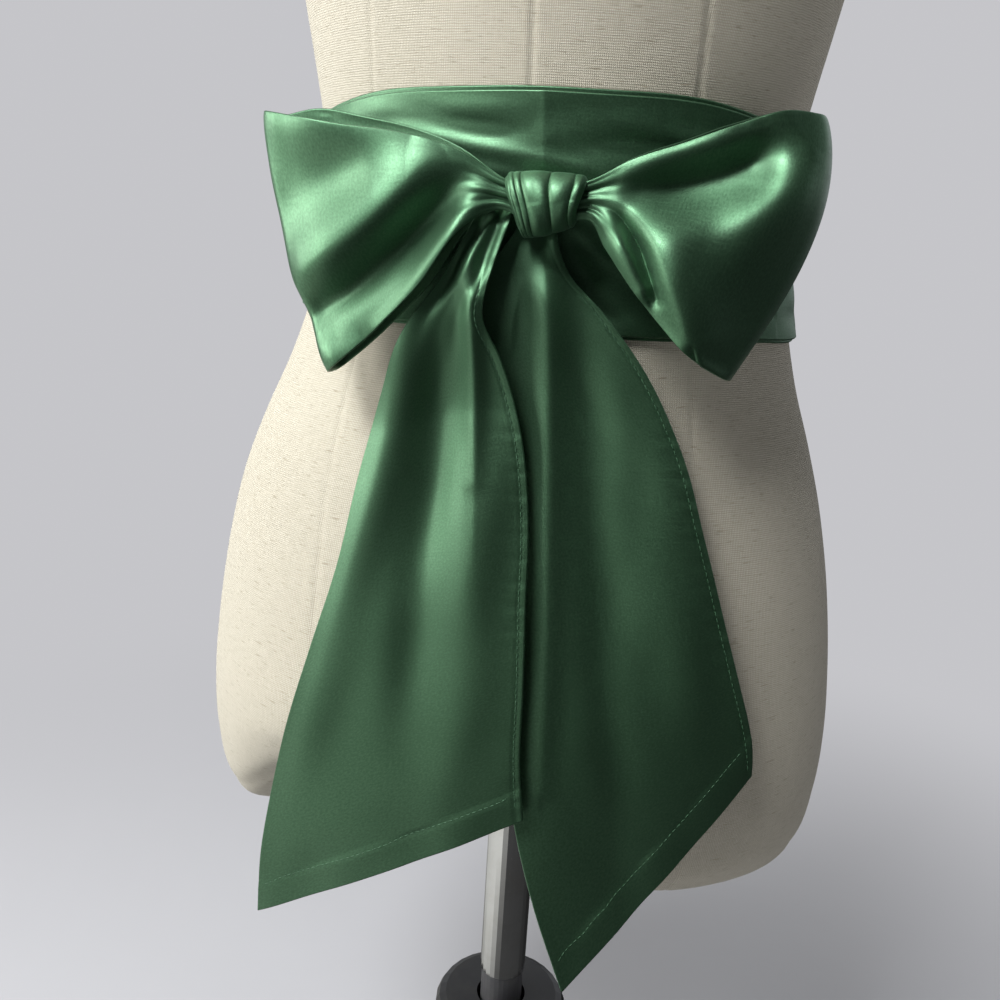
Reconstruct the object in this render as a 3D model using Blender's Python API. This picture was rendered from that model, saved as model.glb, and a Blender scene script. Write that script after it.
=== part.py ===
"""A wide satin sash, wound twice round the waist of a limbless dress form and tied in a bow.

The form stands by itself on a short round stand. Its front faces -Y, and the origin is the
middle of the foot's underside. The tables hold millimetres, which become metres in the meshes.
"""
import math

import bmesh
import bpy
import numpy as np

MM = 0.001

# Cloth
CLOTH = 1.2
SEAM_GAP = 0.4
TOUCH_GAP = 0.3

# Stand
FOOT_RADIUS = 160.0
FOOT_HEIGHT = 14.0
FOOT_EDGE = 5.0
COLUMN_RADIUS = 24.0
COLUMN_FLARE = 8.0
HUB_RADIUS = 41.0
HUB_BOTTOM = 148.0
HUB_TOP = 180.0
HUB_EDGE = 6.0
HUB_HOLE_RADIUS = 15.3
HUB_FLOOR = 6.0
POST_RADIUS = 13.0
POLE_RADIUS = 14.0
POLE_BOTTOM = 200.0
SOCKET_DEPTH = 50.0
SOCKET_RADIUS = POLE_RADIUS + SEAM_GAP
ROUND_SIDES = 28

# Dress form: a row for each level, from the underside to the top of the neck
FORM_COLUMNS = ("height", "half_width", "front", "back")
FORM_ROWS = (
    (314.0, 148.0, 60.0, 104.0),
    (321.0, 160.0, 83.0, 116.0),
    (336.0, 168.0, 103.0, 126.0),
    (366.0, 173.0, 118.0, 133.0),
    (400.0, 173.5, 121.0, 136.0),
    (430.0, 171.0, 119.5, 135.0),
    (460.0, 167.0, 117.0, 131.0),
    (490.0, 161.5, 114.0, 125.0),
    (520.0, 154.0, 110.0, 118.0),
    (550.0, 143.5, 105.5, 110.0),
    (580.0, 131.5, 100.5, 101.0),
    (610.0, 122.5, 96.5, 93.0),
    (640.0, 117.0, 94.0, 88.0),
    (665.0, 115.0, 93.5, 86.0),
    (690.0, 116.5, 94.5, 87.0),
    (715.0, 120.5, 97.5, 90.0),
    (745.0, 126.0, 102.0, 94.0),
    (780.0, 132.0, 109.0, 99.0),
    (820.0, 138.0, 116.0, 104.0),
    (860.0, 142.0, 114.0, 108.0),
    (900.0, 148.0, 102.0, 110.0),
    (940.0, 157.0, 86.0, 107.0),
    (962.0, 157.0, 76.0, 100.0),
    (980.0, 142.0, 67.0, 90.0),
    (994.0, 112.0, 60.0, 78.0),
    (1008.0, 80.0, 55.0, 67.0),
    (1026.0, 60.0, 52.0, 58.0),
    (1064.0, 55.0, 50.0, 54.0),
)
FORM_SIDES = 40
HIPS_ASKEW = -5.0
# The underside arches up at the front, a little to the left of the middle
FRONT_ARCH = 45.0
FRONT_ARCH_MIDDLE = math.radians(-105.0)
FRONT_ARCH_WIDTH = math.radians(35.0)
FRONT_ARCH_TOP = 450.0
NECK_CAP_HEIGHT = 12.0
NECK_CAP_INSET = 3.0

# The two turns of the sash round the waist
WRAP_BOTTOM = 606.0
WRAP_TOP_FRONT = 705.0
WRAP_LEFT_DROP = 13.0
WRAP_RIGHT_DROP = 17.0
WRAP_LEVELS = 7
INNER_TOP_RISE = 3.0
INNER_CLEARANCE = 1.5
WRAP_STEP = CLOTH + SEAM_GAP + 0.2
WRAP_SIDES = 60
WRAP_EDGE_WAVE = 1.2

# The pull of the tied end over the front, above the knot
PULL_HEIGHT = 1.2
PULL_TOP = 685.8
PULL_TOP_SLOPE = -0.20
PULL_BOTTOM = 669.5
PULL_LEFT = -62.0
PULL_RIGHT = 22.0

# Soft creases round the back. Columns: place between top edge 0 and bottom edge 1 at the
# middle of the back, slope, height
BACK_CREASES = (
    (0.15, 0.9, 1.6),
    (0.55, -0.7, 1.3),
    (0.85, 0.6, 1.5),
)
BACK_CREASE_WIDTH = 0.12

# Knot: a short tube of cloth across the front, its axis along X
KNOT_CENTRE = (10.0, -113.5, 658.0)
KNOT_HALF_LENGTH = 16.5
KNOT_HALF_DEPTH = 12.4
KNOT_HALF_HEIGHT = 13.6
KNOT_SQUARENESS = 2.5
KNOT_SLANT = 7.5
KNOT_PINCH = 0.05
KNOT_ROUND = 26
KNOT_ALONG = 15

# Pleats across the knot. Columns: place along its length from left to right, width, height
KNOT_PLEATS = (
    (-13.5, 1.6, 0.9),
    (-9.0, 1.5, 1.0),
    (-1.5, 3.6, 0.7),
    (7.0, 3.6, 0.7),
    (13.5, 1.8, 0.8),
)

# Loops: a row for each distance from the knot, 0 in the knot and 1 at the outer fold
LOOP_COLUMNS = ("reach", "top_x", "top_z", "bottom_x", "bottom_z",
                "front_swell", "back_swell", "back_rise")
LEFT_LOOP_ROWS = (
    (0.00, 4.0, 665.5, 4.0, 651.5, 2.6, 2.6, 0.0),
    (0.09, -7.0, 668.0, -7.0, 653.5, 3.2, 2.8, 0.0),
    (0.22, -24.0, 677.0, -19.0, 646.0, 9.0, 3.4, 1.0),
    (0.42, -48.0, 683.0, -36.0, 623.0, 15.0, 5.0, 3.5),
    (0.62, -73.0, 685.0, -53.0, 609.0, 17.0, 7.5, 6.0),
    (0.82, -98.0, 688.0, -69.5, 595.0, 13.0, 8.5, 6.0),
    (1.00, -120.0, 692.0, -86.0, 583.0, 6.0, 6.0, 0.0),
)
RIGHT_LOOP_ROWS = (
    (0.00, 16.0, 665.5, 16.0, 651.5, 2.6, 2.6, 0.0),
    (0.09, 27.0, 668.5, 27.0, 654.5, 3.2, 2.8, 0.0),
    (0.22, 42.0, 676.5, 36.0, 644.0, 9.0, 3.6, 1.5),
    (0.42, 62.0, 684.0, 48.0, 629.0, 15.0, 5.5, 2.5),
    (0.62, 81.0, 691.5, 60.0, 616.0, 17.0, 8.0, 3.0),
    (0.82, 100.0, 698.0, 74.0, 603.5, 14.0, 9.0, 2.0),
    (1.00, 117.0, 698.0, 91.0, 593.0, 7.0, 7.0, 0.0),
)
LOOP_FOLD_RADIUS = 5.0
LOOP_LEFT_SWEEP = 0.27
LOOP_RIGHT_SWEEP = 0.42
LOOP_LEFT_BOW = 7.0
LOOP_RIGHT_BOW = 13.0
LOOP_SLANT = 4.0
LOOP_ACROSS = 21
LOOP_ALONG = 13

# Folds of a loop. Columns: place between top edge 0 and bottom edge 1 at the knot, the same at
# the outer fold, width as a share of the loop's height, and height towards the viewer
LEFT_FRONT_FOLDS = (
    (0.10, 0.14, 0.08, -3.0),
    (0.28, 0.56, 0.13, 6.5),
    (0.46, 0.84, 0.09, -6.0),
    (0.62, 0.96, 0.09, 5.0),
    (0.82, 1.10, 0.10, -3.5),
)
RIGHT_FRONT_FOLDS = (
    (0.10, 0.10, 0.08, -4.0),
    (0.26, 0.24, 0.11, 5.0),
    (0.42, 0.48, 0.10, -3.5),
    (0.58, 0.80, 0.10, 6.5),
    (0.74, 1.00, 0.07, -6.0),
    (0.90, 1.16, 0.10, 4.0),
)
BACK_FOLDS = (
    (0.25, 0.30, 0.14, 2.0),
    (0.60, 0.75, 0.14, -2.5),
)
ROOT_PLEATS = 3
ROOT_PLEAT_HEIGHT = 1.1
ROOT_PLEAT_REACH = 0.30
LOOP_PILLOW = 0.55

# Tails: a row for each share of the length, from behind the knot to the slanted hem.
# depth is the middle of the cloth at the middle of the body, from front to back.
TAIL_COLUMNS = ("length", "left_x", "left_z", "right_x", "right_z", "depth")
LEFT_TAIL_ROWS = (
    (0.00, -16.0, 665.0, 0.0, 665.0, -99.2),
    (0.05, -19.0, 651.0, -4.0, 652.0, -99.5),
    (0.11, -30.0, 629.0, -9.0, 634.0, -104.0),
    (0.17, -46.0, 604.0, -12.0, 615.0, -109.5),
    (0.24, -55.0, 578.0, -4.0, 596.0, -112.5),
    (0.34, -64.0, 545.0, 6.0, 566.0, -115.5),
    (0.47, -73.0, 500.0, 12.0, 530.0, -120.0),
    (0.60, -85.0, 458.0, 14.0, 494.0, -125.5),
    (0.75, -99.0, 405.0, 16.0, 456.0, -130.5),
    (0.88, -109.0, 350.0, 17.0, 421.0, -132.5),
    (1.00, -112.0, 310.0, 20.0, 392.0, -131.5),
)
RIGHT_TAIL_ROWS = (
    (0.00, 3.5, 665.0, 18.0, 665.0, -99.2),
    (0.05, -1.5, 650.0, 14.0, 650.0, -99.3),
    (0.10, -5.5, 634.0, 20.0, 633.0, -100.8),
    (0.16, -5.0, 617.0, 36.0, 617.0, -103.0),
    (0.24, 0.0, 594.0, 55.0, 594.0, -105.5),
    (0.34, 5.0, 561.0, 74.0, 560.0, -108.0),
    (0.46, 7.0, 522.0, 88.0, 522.0, -113.0),
    (0.60, 8.0, 470.0, 101.0, 484.0, -120.0),
    (0.72, 10.0, 425.0, 110.0, 458.0, -124.5),
    (0.82, 16.0, 385.0, 117.0, 437.0, -126.0),
    (0.91, 28.0, 341.0, 120.0, 423.0, -126.0),
    (1.00, 44.0, 295.0, 121.0, 412.0, -125.0),
)
TAIL_CURL = 0.0011
LEFT_TAIL_TUCK = 5.0
TAIL_ROOT_GATHERS = 2
TAIL_ROOT_GATHER_HEIGHT = 0.9
TAIL_ACROSS = 16
TAIL_ALONG = 24

# Folds of a tail. Columns: place from left edge 0 to right edge 1 at the root, the same at the
# hem, width, and height towards the viewer at the root end and at the hem
LEFT_TAIL_FOLDS = (
    (0.05, 0.02, 0.10, -3.0, 1.0),
    (0.40, 0.26, 0.12, -4.5, -1.5),
    (0.66, 0.58, 0.11, 5.0, 3.0),
    (0.98, 0.96, 0.12, -2.5, -1.0),
)
RIGHT_TAIL_FOLDS = (
    (0.10, 0.06, 0.12, -2.0, -0.5),
    (0.34, 0.14, 0.08, 3.5, 1.8),
    (0.55, 0.34, 0.12, -3.0, -2.5),
    (0.86, 0.66, 0.16, 2.5, 2.5),
)

LINEN = (0.55, 0.50, 0.40)
SATIN = (0.045, 0.155, 0.072)
CHROME = (0.78, 0.78, 0.78)
BLACK = (0.015, 0.015, 0.017)
GREY = (0.07, 0.07, 0.075)


def clear_scene():
    for thing in list(bpy.data.objects):
        bpy.data.objects.remove(thing, do_unlink=True)


def make_material(name, colour, roughness, metallic=0.0):
    material = bpy.data.materials.new(name)
    material.use_nodes = True
    shader = material.node_tree.nodes["Principled BSDF"]
    shader.inputs["Base Color"].default_value = (*colour, 1.0)
    shader.inputs["Roughness"].default_value = roughness
    shader.inputs["Metallic"].default_value = metallic
    return material


def make_object(name, points, faces, material, smooth_angle=40.0):
    """One object from points in millimetres, its faces turned outwards."""
    mesh = bpy.data.meshes.new(name)
    mesh.from_pydata([tuple(np.array(point) * MM) for point in points], [], faces)
    shape = bmesh.new()
    shape.from_mesh(mesh)
    bmesh.ops.recalc_face_normals(shape, faces=shape.faces)
    shape.to_mesh(mesh)
    shape.free()
    mesh.materials.append(material)
    mesh.shade_smooth()
    mesh.set_sharp_from_angle(angle=math.radians(smooth_angle))
    thing = bpy.data.objects.new(name, mesh)
    bpy.context.scene.collection.objects.link(thing)
    return thing


def column(rows, names, name, at):
    """A column of a table read at a key, on a smooth curve through its rows."""
    table = np.array(rows)
    keys = table[:, 0]
    values = table[:, names.index(name)]
    slopes = np.gradient(values, keys)
    place = np.clip(np.searchsorted(keys, at) - 1, 0, len(keys) - 2)
    span = keys[place + 1] - keys[place]
    share = np.clip((at - keys[place]) / span, 0.0, 1.0)
    start = values[place] * (1 + 2 * share) * (1 - share) ** 2
    start_slope = slopes[place] * span * share * (1 - share) ** 2
    end = values[place + 1] * share ** 2 * (3 - 2 * share)
    end_slope = slopes[place + 1] * span * share ** 2 * (share - 1)
    return start + start_slope + end + end_slope


def ease(low, high, value):
    """0 below low, 1 above high, and a soft step between them."""
    share = np.clip((value - low) / (high - low), 0.0, 1.0)
    return share * share * (3 - 2 * share)


def bump(value, middle, width):
    """A soft hump of height 1 round a middle."""
    return np.exp(-((value - middle) / width) ** 2)


def loft(rings):
    """Points and faces of a closed body through rings of the same number of points."""
    count = len(rings[0])
    points = [point for ring in rings for point in ring]
    faces = []
    for level in range(len(rings) - 1):
        for side in range(count):
            after = (side + 1) % count
            faces.append((level * count + side, level * count + after,
                          (level + 1) * count + after, (level + 1) * count + side))
    faces.append(tuple(range(count)))
    faces.append(tuple(range((len(rings) - 1) * count, len(rings) * count)))
    return points, faces


def circle(radius, height, sides):
    angles = [2 * math.pi * side / sides for side in range(sides)]
    return [(radius * math.cos(angle), radius * math.sin(angle), height) for angle in angles]


def turned(name, profile, sides, material):
    """A turned piece from a profile of radius and height pairs."""
    points, faces = loft([circle(radius, height, sides) for radius, height in profile])
    return make_object(name, points, faces, material)


def form_point(height, angle, outwards):
    """A point of the dress form at a height and angle, moved outwards."""
    half_width = column(FORM_ROWS, FORM_COLUMNS, "half_width", height) + outwards
    front = column(FORM_ROWS, FORM_COLUMNS, "front", height) + outwards
    back = column(FORM_ROWS, FORM_COLUMNS, "back", height) + outwards
    depth = np.where(np.sin(angle) < 0, front, back)
    askew = HIPS_ASKEW * (1 - ease(500.0, 640.0, height))
    x = half_width * np.cos(angle) + askew
    off = np.mod(angle - FRONT_ARCH_MIDDLE + math.pi, 2 * math.pi) - math.pi
    arch = FRONT_ARCH * np.exp(-(off / FRONT_ARCH_WIDTH) ** 4)
    arch = arch * (1 - ease(FORM_ROWS[0][0], FRONT_ARCH_TOP, height))
    return np.stack([x, depth * np.sin(angle), height + arch], axis=-1)


def cloth_wall(name, middle, material, joined=False):
    """A closed wall of cloth round a grid of points, rows by columns, in millimetres.

    joined says that the last column meets the first, as on a ring.
    """
    middle = np.asarray(middle, float)
    rows, columns = middle.shape[:2]
    if joined:
        around = (np.roll(middle, -1, axis=1) - np.roll(middle, 1, axis=1)) / 2
    else:
        around = np.gradient(middle, axis=1)
    normal = np.cross(np.gradient(middle, axis=0), around)
    normal /= np.maximum(np.linalg.norm(normal, axis=2, keepdims=True), 1e-9)
    skins = [middle + normal * CLOTH / 2, middle - normal * CLOTH / 2]
    points = np.concatenate([skin.reshape(-1, 3) for skin in skins])
    other = rows * columns
    faces = []
    for row in range(rows - 1):
        for place in range(columns if joined else columns - 1):
            after = (place + 1) % columns
            start = row * columns
            end = start + columns
            faces.append((start + place, start + after, end + after, end + place))
            faces.append((other + end + place, other + end + after,
                          other + start + after, other + start + place))
    for place in range(columns if joined else columns - 1):
        after = (place + 1) % columns
        last = (rows - 1) * columns
        faces.append((after, place, other + place, other + after))
        faces.append((last + place, last + after, other + last + after, other + last + place))
    if not joined:
        for row in range(rows - 1):
            near = row * columns
            far = near + columns
            faces.append((near, far, other + far, other + near))
            near = near + columns - 1
            far = far + columns - 1
            faces.append((far, near, other + near, other + far))
    return make_object(name, points, faces, material)


def make_stand(black, grey, chrome):
    foot = [(FOOT_RADIUS - 1.0, 0.0), (FOOT_RADIUS, 1.0), (FOOT_RADIUS, FOOT_HEIGHT - FOOT_EDGE),
            (FOOT_RADIUS - FOOT_EDGE, FOOT_HEIGHT - 1.0), (FOOT_RADIUS - 3 * FOOT_EDGE, FOOT_HEIGHT)]
    turned("stand_foot", foot, ROUND_SIDES, black)
    bottom = FOOT_HEIGHT + TOUCH_GAP
    top = HUB_BOTTOM - TOUCH_GAP
    flare = COLUMN_RADIUS + COLUMN_FLARE
    post = [(flare, bottom), (flare, bottom + 5.0), (COLUMN_RADIUS + 1.0, bottom + 12.0),
            (COLUMN_RADIUS, bottom + 18.0), (COLUMN_RADIUS, top)]
    turned("stand_column", post, ROUND_SIDES, black)
    floor = HUB_BOTTOM + HUB_FLOOR
    hub = [(HUB_RADIUS - HUB_EDGE, HUB_BOTTOM), (HUB_RADIUS, HUB_BOTTOM + HUB_EDGE),
           (HUB_RADIUS, HUB_TOP - HUB_EDGE), (HUB_RADIUS - 2.0, HUB_TOP - 2.0),
           (HUB_RADIUS - HUB_EDGE, HUB_TOP), (HUB_HOLE_RADIUS, HUB_TOP), (HUB_HOLE_RADIUS, floor)]
    turned("stand_hub", hub, ROUND_SIDES, black)
    turned("pole_bush", [(POST_RADIUS, floor + TOUCH_GAP), (POST_RADIUS, POLE_BOTTOM - TOUCH_GAP)],
           ROUND_SIDES, grey)
    socket_top = FORM_ROWS[0][0] + SOCKET_DEPTH
    turned("pole", [(POLE_RADIUS - 0.6, POLE_BOTTOM), (POLE_RADIUS, POLE_BOTTOM + 0.6),
                    (POLE_RADIUS, socket_top - TOUCH_GAP)], ROUND_SIDES, chrome)


def make_form(linen, black):
    angles = np.linspace(0, 2 * math.pi, FORM_SIDES, endpoint=False)
    under = FORM_ROWS[0][0]
    rings = [circle(SOCKET_RADIUS, height, FORM_SIDES) for height in (under + SOCKET_DEPTH, under)]
    rings += [form_point(row[0], angles, 0.0) for row in FORM_ROWS]
    points, faces = loft(rings)
    make_object("form_torso", points, faces, linen)
    neck = FORM_ROWS[-1][0]
    steps = ((NECK_CAP_INSET, TOUCH_GAP), (0.0, TOUCH_GAP + 2.0), (0.0, NECK_CAP_HEIGHT - 4.0),
             (4.0, NECK_CAP_HEIGHT - 1.0), (14.0, NECK_CAP_HEIGHT))
    rings = []
    for inset, rise in steps:
        ring = form_point(neck, angles, -NECK_CAP_INSET - inset)
        ring[:, 2] = neck + rise
        rings.append(ring)
    points, faces = loft(rings)
    make_object("neck_cap", points, faces, black)


def wrap_grid(outwards, rise):
    """The middle of a turn of the sash round the waist, top edge first."""
    angles = np.linspace(0, 2 * math.pi, WRAP_SIDES, endpoint=False)
    level, angle = np.meshgrid(np.linspace(0, 1, WRAP_LEVELS), angles, indexing="ij")
    sideways = np.cos(angle) ** 2
    left = np.clip(-np.cos(angle), 0.0, 1.0)
    right = np.clip(np.cos(angle), 0.0, 1.0)
    top = WRAP_TOP_FRONT + rise - WRAP_LEFT_DROP * left ** 3 - WRAP_RIGHT_DROP * right ** 3
    bottom = WRAP_BOTTOM - 0.5 * rise + WRAP_EDGE_WAVE * np.sin(2 * angle + 0.8) - sideways
    height = top + (bottom - top) * level
    return form_point(height, angle, outwards), level, angle


def make_wraps(satin):
    inner = wrap_grid(INNER_CLEARANCE, INNER_TOP_RISE)[0]
    cloth_wall("wrap_inner", inner, satin, joined=True)

    outer, level, angle = wrap_grid(INNER_CLEARANCE + WRAP_STEP, 0.0)
    x = outer[..., 0]
    z = outer[..., 2]
    front = ease(0.25, 0.6, -np.sin(angle))
    pull_top = PULL_TOP + PULL_TOP_SLOPE * (x - PULL_LEFT)
    pull = ease(0.0, 7.0, pull_top - z) * ease(-3.5, 3.5, z - PULL_BOTTOM)
    pull = pull * ease(-10.0, 10.0, x - PULL_LEFT) * (1 - ease(-8.0, 8.0, x - PULL_RIGHT))
    lift = PULL_HEIGHT * front * pull
    turn = np.mod((angle - math.pi * 0.05) / math.pi, 2.0)
    behind = ease(0.0, 0.15, turn) * (1 - ease(0.85, 1.0, turn))
    for start, slope, height in BACK_CREASES:
        lift = lift + height * behind * bump(level, start + slope * (turn - 0.5), BACK_CREASE_WIDTH)
    away = np.stack([np.cos(angle), np.sin(angle), 0 * angle], axis=-1)
    cloth_wall("wrap_outer", outer + away * lift[..., None], satin, joined=True)


def make_knot(satin):
    turns = np.linspace(0, 2 * math.pi, KNOT_ROUND, endpoint=False)
    place, turn = np.meshgrid(np.linspace(-1, 1, KNOT_ALONG), turns, indexing="ij")
    along = place * KNOT_HALF_LENGTH
    lift = np.zeros_like(along)
    for middle, width, height in KNOT_PLEATS:
        lift = lift + height * bump(along, middle, width)
    towards = ease(-0.2, 0.6, np.cos(turn))
    power = 2.0 / KNOT_SQUARENESS
    forward = np.sign(np.cos(turn)) * np.abs(np.cos(turn)) ** power
    upward = np.sign(np.sin(turn)) * np.abs(np.sin(turn)) ** power
    pinch = 1.0 - KNOT_PINCH * place ** 2
    y = KNOT_CENTRE[1] - forward * (KNOT_HALF_DEPTH * pinch + lift * towards - CLOTH / 2)
    z = KNOT_CENTRE[2] + upward * (KNOT_HALF_HEIGHT * pinch + 0.4 * lift * towards - CLOTH / 2)
    low = 1 - ease(-KNOT_HALF_HEIGHT, KNOT_HALF_HEIGHT, z - KNOT_CENTRE[2])
    slant = KNOT_SLANT * (1 - ease(-1.0, 0.9, place)) - 2.0 * ease(0.3, 1.0, place)
    x = KNOT_CENTRE[0] + along + slant * low * towards
    cloth_wall("knot", np.stack([x, y, z], axis=-1), satin, joined=True)


def loop_grid(rows, folds, side, sweep, bow_size):
    """The middle of a bow loop.

    It runs from the knot along its back, round its outer fold and back along its front.
    side is -1 for the left loop and 1 for the right.
    """
    fold_turns = np.linspace(-90.0, 90.0, 5)
    straight = np.linspace(0.0, 1.0, LOOP_ALONG) ** 1.15
    length = math.hypot(rows[-1][1] - rows[0][1], rows[-1][2] - rows[0][2])
    roll = LOOP_FOLD_RADIUS / length
    back = [(reach * (1 - roll), -1.0, 0.0) for reach in straight[:-1]]
    turn = [(1 - roll + roll * math.cos(math.radians(degrees)), math.sin(math.radians(degrees)), 1.0)
            for degrees in fold_turns]
    front = [(reach * (1 - roll), 1.0, 0.0) for reach in straight[:-1][::-1]]
    path = np.array(back + turn + front)
    down = np.linspace(0.0, 1.0, LOOP_ACROSS)
    reach = np.repeat(path[:, :1], LOOP_ACROSS, axis=1)
    facing = np.repeat(path[:, 1:2], LOOP_ACROSS, axis=1)
    place = np.repeat(down[None, :], len(path), axis=0)

    def read(name):
        return column(rows, LOOP_COLUMNS, name, reach)

    is_back = (1 - facing) / 2
    top_z = read("top_z") + read("back_rise") * is_back
    bow = bow_size * np.sin(math.pi * place ** 0.8) * reach ** 3
    x = read("top_x") + (read("bottom_x") - read("top_x")) * place + side * bow
    z = top_z + (read("bottom_z") - top_z) * place
    pillow = 1 - LOOP_PILLOW + LOOP_PILLOW * np.sin(math.pi * np.clip(place, 0.0, 1.0)) ** 0.8
    round_off = ease(0.05, 0.25, reach) * (1 - ease(0.85, 1.0, reach))
    full = 1 - round_off * (1 - pillow)
    swell = np.where(facing > 0, read("front_swell"), read("back_swell")) * facing * full
    lift = np.zeros_like(reach)
    for knot_place, outer_place, width, height in folds:
        middle = knot_place + (outer_place - knot_place) * reach
        fade = ease(0.08, 0.35, reach) * (1 - 0.75 * ease(0.7, 1.0, reach))
        lift = lift + height * fade * bump(place, middle, width) * ease(0.0, 1.0, facing)
    for knot_place, outer_place, width, height in BACK_FOLDS:
        middle = knot_place + (outer_place - knot_place) * reach
        fade = ease(0.25, 0.5, reach) * (1 - ease(0.7, 1.0, reach))
        lift = lift + height * fade * bump(place, middle, width) * is_back
    gathers = 1 - ease(0.0, ROOT_PLEAT_REACH, reach)
    lift = lift + ROOT_PLEAT_HEIGHT * gathers * np.cos(2 * math.pi * ROOT_PLEATS * place)
    outwards = np.abs(x - KNOT_CENTRE[0])
    y = KNOT_CENTRE[1] + sweep * np.maximum(outwards - KNOT_HALF_LENGTH, 0.0) - swell - lift
    y = y + LOOP_SLANT * (0.5 - place) * ease(0.2, 0.9, reach)
    return np.stack([x, y, z], axis=-1)


def make_loops(satin):
    left = loop_grid(LEFT_LOOP_ROWS, LEFT_FRONT_FOLDS, -1.0, LOOP_LEFT_SWEEP, LOOP_LEFT_BOW)
    cloth_wall("loop_left", left, satin)
    right = loop_grid(RIGHT_LOOP_ROWS, RIGHT_FRONT_FOLDS, 1.0, LOOP_RIGHT_SWEEP, LOOP_RIGHT_BOW)
    cloth_wall("loop_right", right, satin)


def tail_grid(rows, folds, tuck):
    """The middle of a hanging tail, from behind the knot to its slanted hem.

    tuck moves the left edge back near the knot, so that it lies behind the loop.
    """
    length, across = np.meshgrid(np.linspace(0, 1, TAIL_ALONG) ** 1.15,
                                 np.linspace(0, 1, TAIL_ACROSS), indexing="ij")

    def read(name):
        return column(rows, TAIL_COLUMNS, name, length)

    x = read("left_x") + (read("right_x") - read("left_x")) * across
    z = read("left_z") + (read("right_z") - read("left_z")) * across
    lift = np.zeros_like(x)
    for root_place, hem_place, width, root_height, hem_height in folds:
        middle = root_place + (hem_place - root_place) * length
        height = root_height + (hem_height - root_height) * ease(0.25, 1.0, length)
        lift = lift + height * ease(0.05, 0.2, length) * bump(across, middle, width)
    gathers = (1 - ease(0.02, 0.16, length)) * TAIL_ROOT_GATHER_HEIGHT
    lift = lift + gathers * np.cos(2 * math.pi * TAIL_ROOT_GATHERS * across)
    y = read("depth") + TAIL_CURL * x ** 2 - lift
    near_knot = ease(0.03, 0.12, length) * (1 - ease(0.2, 0.4, length))
    y = y + tuck * (1 - ease(0.0, 0.45, across)) * near_knot
    return np.stack([x, y, z], axis=-1)


def make_tails(satin):
    cloth_wall("tail_left", tail_grid(LEFT_TAIL_ROWS, LEFT_TAIL_FOLDS, LEFT_TAIL_TUCK), satin)
    cloth_wall("tail_right", tail_grid(RIGHT_TAIL_ROWS, RIGHT_TAIL_FOLDS, 0.0), satin)


def main():
    clear_scene()
    linen = make_material("linen", LINEN, 0.85)
    satin = make_material("satin", SATIN, 0.32)
    chrome = make_material("chrome", CHROME, 0.12, 1.0)
    black = make_material("black_paint", BLACK, 0.4)
    grey = make_material("grey_plastic", GREY, 0.5)
    make_stand(black, grey, chrome)
    make_form(linen, black)
    make_wraps(satin)
    make_knot(satin)
    make_loops(satin)
    make_tails(satin)


main()
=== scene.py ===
# %% [markdown]
# # A satin sash in a big bow, on a dress form
#
# This notebook dresses a imported model. The model gives the true sizes: a limbless dress form on
# a short round stand, and a wide satin sash that is wound twice round its waist, tied in a bow
# and left to hang in two long tails. Each cell below makes one piece or one finish.
#
# The imported model is loaded first and stays where it is. Nothing that is made here may grow
# past it by more than cloth does.

# %% Load the imported model
import math

import bmesh
import bpy
import numpy as np
from mathutils import Matrix, Vector


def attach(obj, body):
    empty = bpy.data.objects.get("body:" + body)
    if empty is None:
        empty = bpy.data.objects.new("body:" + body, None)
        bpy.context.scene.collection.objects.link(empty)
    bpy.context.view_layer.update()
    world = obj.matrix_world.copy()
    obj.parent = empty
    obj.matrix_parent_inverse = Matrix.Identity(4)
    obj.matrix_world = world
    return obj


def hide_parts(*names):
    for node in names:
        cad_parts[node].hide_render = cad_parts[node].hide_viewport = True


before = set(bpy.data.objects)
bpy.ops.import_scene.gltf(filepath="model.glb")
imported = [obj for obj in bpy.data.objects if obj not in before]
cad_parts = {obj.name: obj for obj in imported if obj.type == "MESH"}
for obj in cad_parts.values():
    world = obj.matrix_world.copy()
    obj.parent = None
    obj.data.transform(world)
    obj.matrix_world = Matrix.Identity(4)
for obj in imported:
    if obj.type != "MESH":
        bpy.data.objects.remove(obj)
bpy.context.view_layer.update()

MM = 0.001

# %% [markdown]
# ## Camera
#
# The view is from just in front of the bow, a little to its right, and looks down on it. A
# 36 mm lens on a 36 mm sensor sees as wide as it is far. The camera's own axes are worked out
# from its heading, its tilt and a small roll, and are put in a matrix.

# %% Camera
EYE_DISTANCE = 530 * MM
EYE_HEIGHT = 652 * MM
EYE_AROUND = math.radians(6.7)
HEADING = math.radians(-8.7)
TILT = math.radians(15.6)
ROLL = math.radians(3.3)

camera_data = bpy.data.cameras.new("camera")
camera_data.lens = 36.0
camera_data.sensor_width = 36.0
camera = bpy.data.objects.new("camera", camera_data)
bpy.context.scene.collection.objects.link(camera)
ahead = Vector((math.sin(HEADING) * math.cos(TILT), math.cos(HEADING) * math.cos(TILT), -math.sin(TILT)))
level_right = Vector((math.cos(HEADING), -math.sin(HEADING), 0.0))
level_up = level_right.cross(ahead)
view_right = level_right * math.cos(ROLL) + level_up * math.sin(ROLL)
view_up = level_up * math.cos(ROLL) - level_right * math.sin(ROLL)
turn = Matrix((view_right, view_up, -ahead)).transposed().to_4x4()
eye = Vector((EYE_DISTANCE * math.sin(EYE_AROUND), -EYE_DISTANCE * math.cos(EYE_AROUND), EYE_HEIGHT))
camera.matrix_world = Matrix.Translation(eye) @ turn
bpy.context.scene.camera = camera
print("camera at", [round(value, 3) for value in eye])

# %% [markdown]
# ## Small helpers for nodes
#
# The room, the floor and every finish are small node trees. These helpers keep their cells
# short: they add a node and give each of its inputs a plain value or a link, and they make the
# few nodes that come back again and again, such as a range, a mix of two colours or a bump.

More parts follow.
